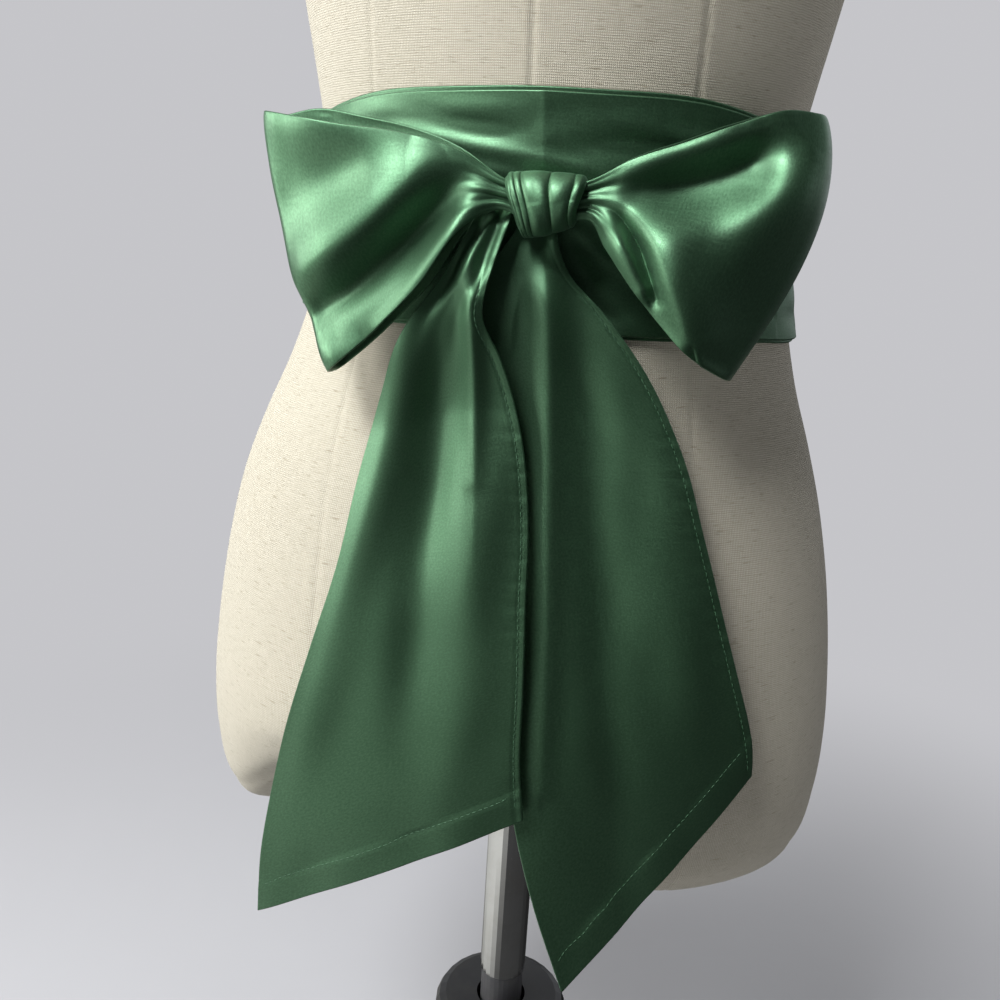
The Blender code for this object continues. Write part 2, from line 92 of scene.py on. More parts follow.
# %% Node helpers


def feed(tree, value, socket):
    """Sets an input socket to a plain value, or links it to an output socket."""
    if isinstance(value, bpy.types.NodeSocket):
        tree.links.new(value, socket)
    else:
        socket.default_value = value


def add_node(tree, kind, inputs=None, **settings):
    """A node with its settings. Each input takes a plain value or an output socket."""
    node = tree.nodes.new(kind)
    for name, value in settings.items():
        setattr(node, name, value)
    for name, value in (inputs or {}).items():
        feed(tree, value, node.inputs[name])
    return node


def new_material(name, roughness, metallic=0.0):
    """A material, its node tree and its Principled BSDF."""
    material = bpy.data.materials.new(name)
    material.use_nodes = True
    shader = material.node_tree.nodes["Principled BSDF"]
    shader.inputs["Roughness"].default_value = roughness
    shader.inputs["Metallic"].default_value = metallic
    return material, material.node_tree, shader


def new_group(name, inputs, outputs):
    """A shader node group with named sockets, and its input and output nodes."""
    tree = bpy.data.node_groups.new(name, "ShaderNodeTree")
    for socket, kind, value in inputs:
        made = tree.interface.new_socket(socket, in_out="INPUT", socket_type=kind)
        if value is not None:
            made.default_value = value
    for socket, kind in outputs:
        tree.interface.new_socket(socket, in_out="OUTPUT", socket_type=kind)
    return tree, tree.nodes.new("NodeGroupInput"), tree.nodes.new("NodeGroupOutput")


def map_range(tree, source, low, high, to_low, to_high, kind="LINEAR"):
    """A value moved from one range to another and kept inside it."""
    inputs = {"Value": source, "From Min": low, "From Max": high, "To Min": to_low, "To Max": to_high}
    return add_node(tree, "ShaderNodeMapRange", inputs, interpolation_type=kind).outputs["Result"]


def combine(tree, operation, first, second, **settings):
    """Two values put through a math node."""
    inputs = {0: first, 1: second}
    return add_node(tree, "ShaderNodeMath", inputs, operation=operation, **settings).outputs["Value"]


def mix_colours(tree, factor, first, second):
    """A colour between two, each a plain colour or a socket, by a factor socket."""
    ends = [(*colour, 1.0) if isinstance(colour, tuple) else colour for colour in (first, second)]
    inputs = {"Factor": factor, "A": ends[0], "B": ends[1]}
    return add_node(tree, "ShaderNodeMix", inputs, data_type="RGBA").outputs["Result"]


def mix_shaders(tree, factor, first, second):
    """A shader between two, by a factor socket."""
    inputs = {"Fac": factor, 1: first, 2: second}
    return add_node(tree, "ShaderNodeMixShader", inputs).outputs["Shader"]


def add_noise(tree, vector, scale, **inputs):
    """Noise read at a vector, with a plain value or a socket as its scale."""
    inputs = {"Vector": vector, "Scale": scale, **inputs}
    return add_node(tree, "ShaderNodeTexNoise", inputs).outputs["Fac"]


def add_bump(tree, height, strength, distance, normal=None):
    """A normal raised by a height, on top of another bump's normal if there is one."""
    inputs = {"Height": height, "Strength": strength, "Distance": distance}
    if normal is not None:
        inputs["Normal"] = normal
    return add_node(tree, "ShaderNodeBump", inputs).outputs["Normal"]


print("helpers for nodes are ready")

# %% [markdown]
# ## Light and backdrop
#
# Satin shows its folds only where a bright window stands beside a dark side of the room. So a
# wide soft light stands to the left and a smaller one high in front, the room behind the form is
# pale and the room in front of it dark. The world mixes two backgrounds by Light Path: a plain
# pale backdrop for the camera, and the light that reaches the cloth, which grows from front to
# back.

# %% Light and backdrop
bpy.context.scene.view_settings.view_transform = "Standard"
BACKDROP = (0.56, 0.56, 0.585, 1.0)
ROOM_COLOUR = (0.92, 0.95, 1.0, 1.0)
ROOM_IN_FRONT = 0.015
ROOM_BEHIND = 0.66

world = bpy.data.worlds.new("room")
world.use_nodes = True
bpy.context.scene.world = world
room = world.node_tree
room.nodes.clear()
direction = add_node(room, "ShaderNodeTexCoord").outputs["Generated"]
split = add_node(room, "ShaderNodeSeparateXYZ", {"Vector": direction})
depth = map_range(room, split.outputs["Y"], -0.3, 0.9, ROOM_IN_FRONT, ROOM_BEHIND, "SMOOTHSTEP")
seen = add_node(room, "ShaderNodeBackground", {"Color": BACKDROP})
unseen = add_node(room, "ShaderNodeBackground", {"Color": ROOM_COLOUR, "Strength": depth})
path = add_node(room, "ShaderNodeLightPath")
both = mix_shaders(
    room, path.outputs["Is Camera Ray"], unseen.outputs["Background"], seen.outputs["Background"])
add_node(room, "ShaderNodeOutputWorld", {"Surface": both})


def soft_light(name, place, aim, width, height, power, colour):
    """A rectangular soft light that faces a point."""
    data = bpy.data.lights.new(name, "AREA")
    data.shape = "RECTANGLE"
    data.size = width
    data.size_y = height
    data.energy = power
    data.color = colour
    lamp = bpy.data.objects.new(name, data)
    lamp.location = place
    lamp.rotation_mode = "QUATERNION"
    lamp.rotation_quaternion = (Vector(aim) - Vector(place)).to_track_quat("-Z", "Y")
    bpy.context.scene.collection.objects.link(lamp)
    return lamp


BOW = (0.0, -0.1, 0.62)
soft_light("window", (-1.62, -0.53, 0.98), BOW, 1.4, 1.1, 34.0, (1.0, 0.99, 0.97))
soft_light("high_window", (-0.59, -0.94, 1.85), BOW, 0.7, 0.6, 38.0, (0.98, 0.99, 1.0))

# %% [markdown]
# ## Threads
#
# Satin and linen are both woven, so they share one effect: threads that run two ways, each as a
# row of fine ridges that are pulled about a little by noise, with thicker places called slubs.
# A node group holds it. It takes the cloth's own UV map, which is in metres, so the threads
# follow the cloth round every fold.

# %% Threads, a group that satin and linen share
threads, threads_in, threads_out = new_group(
    "threads",
    [("Vector", "NodeSocketVector", None), ("Warp", "NodeSocketFloat", 3000.0),
     ("Weft", "NodeSocketFloat", 3000.0), ("Slub Length", "NodeSocketFloat", 60.0)],
    [("Height", "NodeSocketFloat"), ("Slubs", "NodeSocketFloat"), ("Tone", "NodeSocketFloat")])

vector = threads_in.outputs["Vector"]
waves = []
for axis, socket in (("X", "Warp"), ("Y", "Weft")):
    inputs = {"Vector": vector, "Scale": threads_in.outputs[socket],
              "Distortion": 1.6, "Detail": 1.0, "Detail Scale": 0.6}
    wave = add_node(threads, "ShaderNodeTexWave", inputs, wave_type="BANDS", bands_direction=axis)
    waves.append(wave.outputs["Fac"])
slubs = []
for stretch in ((14.0, 1.0, 1.0), (1.0, 14.0, 1.0)):
    squeeze = add_node(threads, "ShaderNodeVectorMath", {0: vector, 1: stretch}, operation="MULTIPLY")
    slubs.append(add_noise(threads, squeeze.outputs["Vector"], threads_in.outputs["Slub Length"],
                           Detail=2.0, Roughness=0.55))
feed(threads, combine(threads, "MULTIPLY", *waves), threads_out.inputs["Height"])
feed(threads, combine(threads, "MAXIMUM", *slubs), threads_out.inputs["Slubs"])
feed(threads, add_noise(threads, vector, 9.0, Detail=3.0), threads_out.inputs["Tone"])
print("threads has", len(threads.nodes), "nodes")

# %% [markdown]
# ## Wear
#
# The stand's chrome, paint and plastic share another effect: fingerprints and dust as a soft
# uneven mask, and a fine grain. One group gives both, read from Object coordinates, which are
# metres here because every finished piece sits at the origin.

# %% Wear, a group that the stand's finishes share
wear, wear_in, wear_out = new_group(
    "wear",
    [("Vector", "NodeSocketVector", None), ("Patch", "NodeSocketFloat", 30.0),
     ("Grain", "NodeSocketFloat", 2500.0)],
    [("Smudge", "NodeSocketFloat"), ("Grain", "NodeSocketFloat")])
vector = wear_in.outputs["Vector"]
patch = add_noise(wear, vector, wear_in.outputs["Patch"], Detail=5.0, Roughness=0.6, Distortion=0.4)
grain = add_noise(wear, vector, wear_in.outputs["Grain"], Detail=2.0)
feed(wear, map_range(wear, patch, 0.42, 0.68, 0.0, 1.0), wear_out.inputs["Smudge"])
feed(wear, grain, wear_out.inputs["Grain"])
print("wear has", len(wear.nodes), "nodes")

# %% [markdown]
# ## Satin
#
# Satin's long floats lie side by side, so its gloss is drawn out across them: the shader is
# anisotropic, and its tangent follows the threads along the sash. The gloss is mostly the cloth's
# own green, as a high metallic value gives, with a little white from a thin coat and a sheen.
# Fine threads, floats and a few slubs go in the bump, and the green wanders a little from place
# to place.

# %% Satin
SATIN_DEEP = (0.064, 0.156, 0.080)
SATIN_LIGHT = (0.098, 0.218, 0.118)
SATIN_ROUGHNESS = 0.47
SATIN_METALLIC = 0.91
SATIN_GLOSS = {
    "IOR": 1.5, "Specular IOR Level": 0.85, "Anisotropic": 0.40,
    "Sheen Weight": 0.06, "Sheen Roughness": 0.35, "Sheen Tint": (0.55, 1.0, 0.70, 1.0),
    "Coat Weight": 0.35, "Coat Roughness": 0.42}


def make_satin():
    """Green satin on a piece's own UV map."""
    material, tree, shader = new_material("satin_face", SATIN_ROUGHNESS, SATIN_METALLIC)
    for socket, value in SATIN_GLOSS.items():
        shader.inputs[socket].default_value = value
    place = add_node(tree, "ShaderNodeUVMap", uv_map="cloth").outputs["UV"]
    weave = add_node(tree, "ShaderNodeGroup", {
        "Vector": place, "Warp": 1700.0, "Weft": 900.0, "Slub Length": 90.0}, node_tree=threads)
    floats = add_noise(tree, place, 1000.0, Detail=2.0, Roughness=0.7)

    wander = map_range(tree, weave.outputs["Tone"], 0.3, 0.7, -0.3, 0.6)
    speckle = map_range(tree, floats, 0.3, 0.7, -0.4, 0.8)
    tone = combine(tree, "ADD", wander, speckle, use_clamp=True)
    feed(tree, mix_colours(tree, tone, SATIN_DEEP, SATIN_LIGHT), shader.inputs["Base Color"])
    dull = map_range(tree, weave.outputs["Slubs"], 0.4, 0.8, SATIN_ROUGHNESS - 0.04, SATIN_ROUGHNESS + 0.10)
    feed(tree, dull, shader.inputs["Roughness"])

    normal = add_bump(tree, floats, 0.5, 0.0001)
    normal = add_bump(tree, weave.outputs["Height"], 0.2, 0.00004, normal)
    normal = add_bump(tree, weave.outputs["Slubs"], 0.18, 0.0001, normal)
    feed(tree, normal, shader.inputs["Normal"])
    along = add_node(tree, "ShaderNodeTangent", direction_type="UV_MAP", uv_map="cloth")
    feed(tree, along.outputs["Tangent"], shader.inputs["Tangent"])
    return material


satin = make_satin()
print("satin is ready")

# %% [markdown]
# ## Linen
#
# The form is covered in unbleached linen, stretched tight. Its plain weave shows as fine ridges
# both ways with many slubs, some lighter and some darker than the ground, and painted shade in
# the low places between the threads.

# %% Linen
LINEN_GROUND = (0.42, 0.39, 0.305)
LINEN_PALE = (0.57, 0.54, 0.45)
LINEN_DARK = (0.28, 0.245, 0.175)


def make_linen():
    """Natural linen on a piece's own UV map."""
    material, tree, shader = new_material("linen_cover", 0.9)
    shader.inputs["Specular IOR Level"].default_value = 0.2
    shader.inputs["Sheen Weight"].default_value = 0.12
    place = add_node(tree, "ShaderNodeUVMap", uv_map="cloth").outputs["UV"]
    weave = add_node(tree, "ShaderNodeGroup", {
        "Vector": place, "Warp": 330.0, "Weft": 330.0, "Slub Length": 120.0}, node_tree=threads)
    ground = mix_colours(tree, weave.outputs["Tone"], LINEN_GROUND, LINEN_PALE)
    yarn = map_range(tree, weave.outputs["Slubs"], 0.42, 0.64, 0.0, 1.0)
    lighter = mix_colours(tree, yarn, ground, LINEN_PALE)
    # Painted shade: the low places between the threads are darkened
    thread_gap_shade = map_range(tree, weave.outputs["Height"], 0.0, 0.35, 0.60, 0.0)
    shaded = mix_colours(tree, thread_gap_shade, lighter, LINEN_DARK)
    long_threads = add_node(
        tree, "ShaderNodeMapping", {"Vector": place, "Scale": (1.0, 7.0, 1.0)}, vector_type="POINT")
    specks = add_noise(tree, long_threads.outputs["Vector"], 130.0, Detail=2.0)
    fleck = map_range(tree, specks, 0.60, 0.74, 0.0, 0.7)
    feed(tree, mix_colours(tree, fleck, shaded, LINEN_DARK), shader.inputs["Base Color"])
    fine = add_bump(tree, weave.outputs["Height"], 0.6, 0.0003)
    feed(tree, add_bump(tree, weave.outputs["Slubs"], 0.6, 0.0004, fine), shader.inputs["Normal"])
    return material


linen = make_linen()
print("linen is ready")

# %% [markdown]
# ## Chrome, plastic, paint and thread
#
# The stand has four hard finishes that differ in colour, gloss and grain. One function makes
# them all from the wear group, so that each gets its own smudges and fine grain. The sewing
# thread is made by it too, with patches small enough to tell one stitch from the next.

# %% Chrome, plastic, paint and thread


def make_hard(name, colour, dull_colour, roughness, dull_roughness, metallic, grain_height, patch_size):
    """A hard finish with smudges and a fine grain, on Object coordinates.

    The dull colour and roughness are those of a smudge.
    """
    material, tree, shader = new_material(name, roughness, metallic)
    place = add_node(tree, "ShaderNodeTexCoord").outputs["Object"]
    marks = add_node(tree, "ShaderNodeGroup", {
        "Vector": place, "Patch": patch_size, "Grain": 2600.0}, node_tree=wear)
    smudge = marks.outputs["Smudge"]
    feed(tree, mix_colours(tree, smudge, colour, dull_colour), shader.inputs["Base Color"])
    feed(tree, map_range(tree, smudge, 0.0, 1.0, roughness, dull_roughness), shader.inputs["Roughness"])
    feed(tree, add_bump(tree, marks.outputs["Grain"], 0.4, grain_height), shader.inputs["Normal"])
    return material


chrome = make_hard(
    "chrome_tube", (0.80, 0.80, 0.80), (0.70, 0.69, 0.67), 0.07, 0.16, 1.0, 0.000004, 45.0)
grey_plastic = make_hard(
    "grey_bush", (0.075, 0.075, 0.08), (0.11, 0.11, 0.11), 0.42, 0.55, 0.0, 0.00003, 60.0)
black_plastic = make_hard(
    "black_hub", (0.010, 0.010, 0.011), (0.022, 0.022, 0.021), 0.30, 0.42, 0.0, 0.00003, 50.0)
black_paint = make_hard(
    "black_paint", (0.012, 0.012, 0.013), (0.017, 0.017, 0.016), 0.38, 0.46, 0.0, 0.00008, 25.0)
thread = make_hard(
    "sewing_thread", (0.032, 0.092, 0.045), (0.048, 0.125, 0.064), 0.5, 0.55, 0.0, 0.00004, 300.0)
print("hard finishes are ready")

# %% [markdown]
# ## Floor
#
# The floor is a wide pale sheet. Near the stand it is painted and takes the stand's shadow; a
# metre away it turns into the backdrop's own colour for the camera, so that no line is seen
# where the floor ends. The satin would mirror so pale a floor in every hanging fold, so Light
# Path gives glossy rays a floor with painted shade to reflect: dark, with painted window light
# on the window's side.

# %% Floor
bpy.ops.object.select_all(action="DESELECT")
bpy.ops.mesh.primitive_plane_add(size=40.0, location=(0.0, 0.0, -0.0004))
floor = bpy.context.object
floor.name = "floor"
floor_paint = make_hard("floor_paint", (0.50, 0.50, 0.52), (0.48, 0.48, 0.50), 0.7, 0.75, 0.0, 0.0001, 2.0)
floor.data.materials.append(floor_paint)
tree = floor_paint.node_tree
place = add_node(tree, "ShaderNodeTexCoord").outputs["Object"]
far = add_node(tree, "ShaderNodeVectorMath", {0: place}, operation="LENGTH")
fade = map_range(tree, far.outputs["Value"], 0.25, 1.1, 0.0, 1.0, "SMOOTHSTEP")
painted = tree.nodes["Principled BSDF"].outputs["BSDF"]
glow = add_node(tree, "ShaderNodeEmission", {"Color": BACKDROP})
pale = mix_shaders(tree, fade, painted, glow.outputs["Emission"])
sideways = add_node(tree, "ShaderNodeSeparateXYZ", {"Vector": place})
# Glossy rays see painted shade: a dark floor with painted window light on its left side
lit_side = map_range(tree, sideways.outputs["X"], -0.06, -0.30, 0.0, 1.0)
painted_reflection_colour = mix_colours(tree, lit_side, (0.04, 0.04, 0.04), (0.42, 0.42, 0.40))
painted_reflection_floor = add_node(tree, "ShaderNodeBsdfDiffuse", {"Color": painted_reflection_colour})
ray = add_node(tree, "ShaderNodeLightPath")
blend = mix_shaders(tree, ray.outputs["Is Glossy Ray"], pale, painted_reflection_floor.outputs["BSDF"])
feed(tree, blend, tree.nodes["Material Output"].inputs["Surface"])
print("floor", [round(size, 1) for size in floor.dimensions])

# %% [markdown]
# ## Helpers for cloth
#
# A stretch of cloth is a grid of points, worked out from a few rows of sizes and then folded. A
# fold is a line across the cloth with a height, a width on each side, and a power: 2 is a soft
# roll and 1 a pressed edge. A shell then gives the grid its thickness, in millimetres, and rounds
# its edges. It takes a UV map in metres, across and along the strip.

# %% Cloth helpers
CLOTH = 0.9
EDGE_ROUNDING = 0.8


def smooth_column(rows, names, name, at):
    """A column of a table read at a key, on a smooth curve through its rows."""
    table = np.array(rows)
    keys = table[:, 0]
    values = table[:, names.index(name)]
    slopes = np.gradient(values, keys)
    place = np.clip(np.searchsorted(keys, at) - 1, 0, len(keys) - 2)
    span = keys[place + 1] - keys[place]
    share = np.clip((at - keys[place]) / span, 0.0, 1.0)
    start = values[place] * (1 + 2 * share) * (1 - share) ** 2
    start_slope = slopes[place] * span * share * (1 - share) ** 2
    end = values[place + 1] * share ** 2 * (3 - 2 * share)
    end_slope = slopes[place + 1] * span * share ** 2 * (share - 1)
    return start + start_slope + end + end_slope


def ease(low, high, value):
    """0 below low, 1 above high, and a soft step between them."""
    share = np.clip((value - low) / (high - low), 0.0, 1.0)
    return share * share * (3 - 2 * share)


def bump(value, middle, width):
    """A soft hump of height 1 round a middle."""
    return np.exp(-((value - middle) / width) ** 2)


def outward(angle):
    """Level directions away from the form's middle."""
    return np.stack([np.cos(angle), np.sin(angle), 0 * angle], axis=-1)


def turn_from(start, angle):
    """How far angles are past a start, from minus half a turn to half a turn."""
    return np.mod(angle - start + math.pi, 2 * math.pi) - math.pi


def smooth_line(points, pieces=10):
    """A line through a few points, rounded between them, with the same number of columns."""
    points = np.array(points, float)
    ends = np.vstack([2 * points[0] - points[1], points, 2 * points[-1] - points[-2]])
    line = []
    for first in range(len(points) - 1):
        a, b, c, d = ends[first:first + 4]
        for step in np.arange(pieces) / pieces:
            line.append(0.5 * (2 * b + (c - a) * step + (2 * a - 5 * b + 4 * c - d) * step ** 2
                               + (3 * b - a - 3 * c + d) * step ** 3))
    line.append(points[-1])
    return np.array(line)


def folds(x, z, table):
    """The height that listed folds give each point of a picture plane.

    A row is: points (x, z, height) along the fold's crest, width on the left of its travel,
    width on the right, and power.
    """
    lift = np.zeros_like(x)
    for points, left_width, right_width, power in table:
        line = smooth_line(points)
        nearest = np.full(x.shape, np.inf)
        side = np.zeros_like(x)
        height = np.zeros_like(x)
        for start, end in zip(line[:-1], line[1:]):
            step = end[:2] - start[:2]
            share = ((x - start[0]) * step[0] + (z - start[1]) * step[1]) / max(step @ step, 1e-9)
            share = np.clip(share, 0.0, 1.0)
            off_x = x - start[0] - share * step[0]
            off_z = z - start[1] - share * step[1]
            distance = np.hypot(off_x, off_z)
            closer = distance < nearest
            nearest = np.where(closer, distance, nearest)
            side = np.where(closer, step[0] * off_z - step[1] * off_x, side)
            height = np.where(closer, start[2] + (end[2] - start[2]) * share, height)
        width = np.where(side > 0, left_width, right_width)
        lift += height * np.exp(-(nearest / width) ** power)
    return lift


def wrinkles(across, along, seed, across_size, along_size, count=16):
    """Soft uneven dents, about 1 high, longer one way than the other."""
    draw = np.random.default_rng(seed)
    total = np.zeros_like(across)
    for _ in range(count):
        turns_across = draw.uniform(0.3, 1.0) / across_size * draw.choice((-1, 1))
        turns_along = draw.uniform(0.2, 1.0) / along_size
        total += np.sin(2 * math.pi * (across * turns_across + along * turns_along) + draw.uniform(0, 6.28))
    return total / math.sqrt(count / 2)


def close_set(count):
    """Shares from 0 to 1 with an extra pair close to each end, for a crisp edge."""
    return np.concatenate([[0.0, 0.004], np.linspace(0.012, 0.988, count - 4), [0.996, 1.0]])


def unit(vectors):
    """Vectors made 1 long."""
    return vectors / np.maximum(np.linalg.norm(vectors, axis=-1, keepdims=True), 1e-9)


def quads(index, joined):
    """The faces between the rows and columns of a grid of point numbers."""
    wide = np.concatenate([index, index[:, :1]], axis=1) if joined else index
    corners = (wide[:-1, :-1], wide[:-1, 1:], wide[1:, 1:], wide[1:, :-1])
    return np.stack([corner.ravel() for corner in corners], axis=1)


def make_piece(name, points, faces, place, material):
    """A smooth closed piece. Points and their place on the flat cloth are in millimetres."""
    mesh = bpy.data.meshes.new(name)
    mesh.from_pydata((points * MM).tolist(), [], faces)
    shape = bmesh.new()
    shape.from_mesh(mesh)
    if shape.calc_volume(signed=True) < 0:
        bmesh.ops.reverse_faces(shape, faces=shape.faces)
    shape.to_mesh(mesh)
    shape.free()
    corners = np.zeros(len(mesh.loops), np.int32)
    mesh.loops.foreach_get("vertex_index", corners)
    layer = mesh.uv_layers.new(name="cloth")
    layer.data.foreach_set("uv", (place * MM)[corners].astype(np.float32).ravel())
    mesh.materials.append(material)
    mesh.shade_smooth()
    piece = bpy.data.objects.new(name, mesh)
    bpy.context.scene.collection.objects.link(piece)
    return piece


def make_cloth(name, middle, material, thickness=CLOTH, joined=False):
    """A thin closed shell with rounded edges round a grid of points in millimetres.

    joined says that the last column meets the first.
    """
    rows, columns = middle.shape[:2]
    if joined:
        around = np.roll(middle, -1, axis=1) - np.roll(middle, 1, axis=1)
    else:
        around = np.gradient(middle, axis=1)
    normal = unit(np.cross(np.gradient(middle, axis=0), around))
    half = np.broadcast_to(np.asarray(thickness, float) / 2, (rows, columns))[..., None]
    points = [(middle + normal * half).reshape(-1, 3), (middle - normal * half).reshape(-1, 3)]
    count = rows * columns
    index = np.arange(count).reshape(rows, columns)
    front = quads(index, joined)
    faces = [front, count + front[:, ::-1]]

    # Each edge gets a row of points in the middle of its thickness, pushed out a little
    if joined:
        rims = [index[0], index[-1]]
    else:
        rims = [np.concatenate([index[0], index[1:, -1], index[-1, -2::-1], index[-2:0:-1, 0]])]
    flat = middle.reshape(-1, 3)
    for number, rim in enumerate(rims):
        row, column = np.divmod(rim, columns)
        if not joined:
            column = np.clip(column, 1, columns - 2)
        inside = np.clip(row, 1, rows - 2) * columns + column
        away = unit(flat[rim] - flat[inside])
        points.append(flat[rim] + away * half.reshape(-1, 1)[rim] * EDGE_ROUNDING)
        here = 2 * count + number * len(rim) + np.arange(len(rim))
        second = np.roll(rim, -1)
        after = np.roll(here, -1)
        for corners in ((second, rim, here, after), (after, here, count + rim, count + second)):
            side = np.stack(corners, axis=1)
            faces.append(side[:, ::-1] if number == 1 else side)

    # The UV map measures the cloth itself, so threads keep their size on every fold
    down = np.linalg.norm(np.diff(middle, axis=0), axis=2).mean(axis=1)
    sideways = np.linalg.norm(np.diff(middle, axis=1), axis=2).mean(axis=0)
    u, v = np.meshgrid(np.append(0.0, np.cumsum(sideways)), np.append(0.0, np.cumsum(down)))
    place = np.stack([u.ravel(), v.ravel()], axis=1)
    place = np.concatenate([place, place] + [place[rim] for rim in rims])
    return make_piece(name, np.concatenate(points), np.concatenate(faces).tolist(), place, material)


def one_side(middle, joined=False):
    """The area of a grid of points, in square metres."""
    if joined:
        middle = np.concatenate([middle, middle[:, :1]], axis=1)
    first = middle[1:, 1:] - middle[:-1, :-1]
    second = middle[1:, :-1] - middle[:-1, 1:]
    return float(np.linalg.norm(np.cross(first, second), axis=2).sum() / 2 * MM * MM)


def finish_piece(piece, slot_name, *nodes):
    """Says which body a piece rides on, and the solids that it stands for; its slot name is not used."""
    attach(piece, "root")
    if nodes:
        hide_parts(*nodes)
    triangles = sum(len(face.vertices) - 2 for face in piece.data.polygons)
    print(piece.name, triangles, "triangles")


# %% [markdown]
# ## The covered form
#
# The cover is cut in eight panels and pulled tight, so the form's shape is the table below, read
# on a smooth curve, with a shallow groove where each seam is sewn. The seams run down the front,
# the sides and the back. The form is one closed body with a socket for the pole in its underside,
# which arches up at the front.

# %% The covered form
FORM_COLUMNS = ("height", "half_width", "front", "back")
FORM_ROWS = (
    (314, 148, 60, 104), (321, 160, 83, 116), (336, 168, 103, 126),
    (366, 173, 118, 133), (400, 173.5, 121, 136), (430, 171, 119.5, 135),
    (460, 167, 117, 131), (490, 161.5, 114, 125), (520, 154, 110, 118),
    (550, 143.5, 105.5, 110), (580, 131.5, 100.5, 101), (610, 122.5, 96.5, 93),
    (640, 117, 94, 88), (665, 115, 93.5, 86), (690, 116.5, 94.5, 87),
    (715, 120.5, 97.5, 90), (745, 126, 102, 94), (780, 132, 109, 99),
    (820, 138, 116, 104), (860, 142, 114, 108), (900, 148, 102, 110),
    (940, 157, 86, 107), (962, 157, 76, 100), (980, 142, 67, 90),
    (994, 112, 60, 78), (1008, 80, 55, 67), (1026, 60, 52, 58),
    (1064, 55, 50, 54))
FORM_BASE = FORM_ROWS[0][0]
FORM_TOP = FORM_ROWS[-1][0]
HIPS_ASKEW = -5.0
SOCKET_RADIUS = 14.4
SOCKET_DEPTH = 50.0

# The cover laid flat: its radius, and how far the rings of the underside lie below its edge
COVER_RADIUS = 140.0
UNDERSIDE_SHIFTS = [400.0, 300.0, 200.0, 6.0]
FRONT_ARCH = 45.0
FRONT_ARCH_MIDDLE = math.radians(-105.0)
FRONT_ARCH_WIDTH = math.radians(35.0)
FRONT_ARCH_TOP = 450.0

# Seams: x at each height, as a share of the form's half width, the same in front and behind
SEAM_COLUMNS = ("height", "left", "middle", "right")
SEAM_ROWS = (
    (314, -0.50, 0.02, 0.58), (400, -0.50, 0.02, 0.57), (490, -0.52, 0.015, 0.56),
    (600, -0.60, 0, 0.60), (700, -0.62, -0.01, 0.56), (760, -0.57, -0.01, 0.52),
    (830, -0.50, 0, 0.48), (900, -0.50, 0, 0.48), (960, -0.50, 0, 0.50),
    (1064, -0.50, 0, 0.50))
SEAM_WIDTH = 1.1
SEAM_DEPTH = 0.75
SEAM_SWELL = 0.16


def form_point(height, angle, outwards):
    """A point of the form at a height and angle, moved outwards."""
    half_width, front, back = (
        smooth_column(FORM_ROWS, FORM_COLUMNS, name, height) + outwards for name in FORM_COLUMNS[1:])
    depth = np.where(np.sin(angle) < 0, front, back)
    x = half_width * np.cos(angle) + HIPS_ASKEW * (1 - ease(500.0, 640.0, height))
    arch = FRONT_ARCH * np.exp(-(turn_from(FRONT_ARCH_MIDDLE, angle) / FRONT_ARCH_WIDTH) ** 4)
    arch = arch * (1 - ease(FORM_BASE, FRONT_ARCH_TOP, height))
    return np.stack([x, depth * np.sin(angle), height + arch], axis=-1)


def seam_relief(height, angle):
    """How far the cover lies in or out where its panels meet."""
    relief = np.zeros_like(height)
    half_width = smooth_column(FORM_ROWS, FORM_COLUMNS, "half_width", height)
    for name in SEAM_COLUMNS[1:]:
        share = smooth_column(SEAM_ROWS, SEAM_COLUMNS, name, height)
        for side in (-1, 1):
            seam = side * np.arccos(np.clip(share, -1, 1))
            off = np.abs(turn_from(seam, angle)) * half_width
            relief += SEAM_SWELL * bump(off, 0.0, 6 * SEAM_WIDTH)
            relief -= SEAM_DEPTH * bump(off, 0.0, SEAM_WIDTH)
    for side_seam in (0.0, math.pi):
        off = np.abs(turn_from(side_seam, angle)) * half_width
        relief -= SEAM_DEPTH * bump(off, 0.0, SEAM_WIDTH)
    return relief


def make_form():
    """The linen body: rings up the form, closed by a socket below and a disc on the neck."""
    sides = 560
    heights = np.concatenate([np.linspace(FORM_BASE, FORM_BASE + 31.0, 14),
                              np.linspace(FORM_BASE + 35.0, FORM_TOP, 118)])
    angles = np.linspace(0, 2 * math.pi, sides, endpoint=False)
    height, angle = np.meshgrid(heights, angles, indexing="ij")
    away = outward(angle)
    relief = seam_relief(height, angle) * ease(FORM_BASE, FORM_BASE + 4.0, height)
    skin = form_point(height, angle, 0.0) + away * relief[..., None]
    hole = away[0] * SOCKET_RADIUS + np.array([0.0, 0.0, FORM_BASE])
    socket_top = hole + np.array([0.0, 0.0, SOCKET_DEPTH])
    half_way, near_edge = (skin[0] + (hole - skin[0]) * share for share in (0.5, 0.04))
    points = np.concatenate([np.stack([socket_top, hole, half_way, near_edge]), skin])
    count = len(points)
    index = np.arange(count * sides).reshape(count, sides)
    faces = quads(index, joined=True).tolist() + [index[0, ::-1].tolist(), index[-1].tolist()]
    u = np.broadcast_to(angles * COVER_RADIUS, (count, sides)).ravel()
    v = points[..., 2].ravel() - np.repeat(UNDERSIDE_SHIFTS + [0.0] * (count - 4), sides)
    piece = make_piece("linen_form", points.reshape(-1, 3), faces, np.stack([u, v], axis=1), linen)

    # The last column of faces meets the first, and its far corners lie a whole turn along
    layer = piece.data.uv_layers["cloth"]
    for face in range(sides - 1, (count - 1) * sides, sides):
        for corner in (1, 2):
            loop = piece.data.polygons[face].loop_start + corner
            layer.data[loop].uv.x = 2 * math.pi * COVER_RADIUS * MM
    piece.data.set_sharp_from_angle(angle=math.radians(50))
    return piece


form = make_form()
finish_piece(form, "linen", "form_torso")
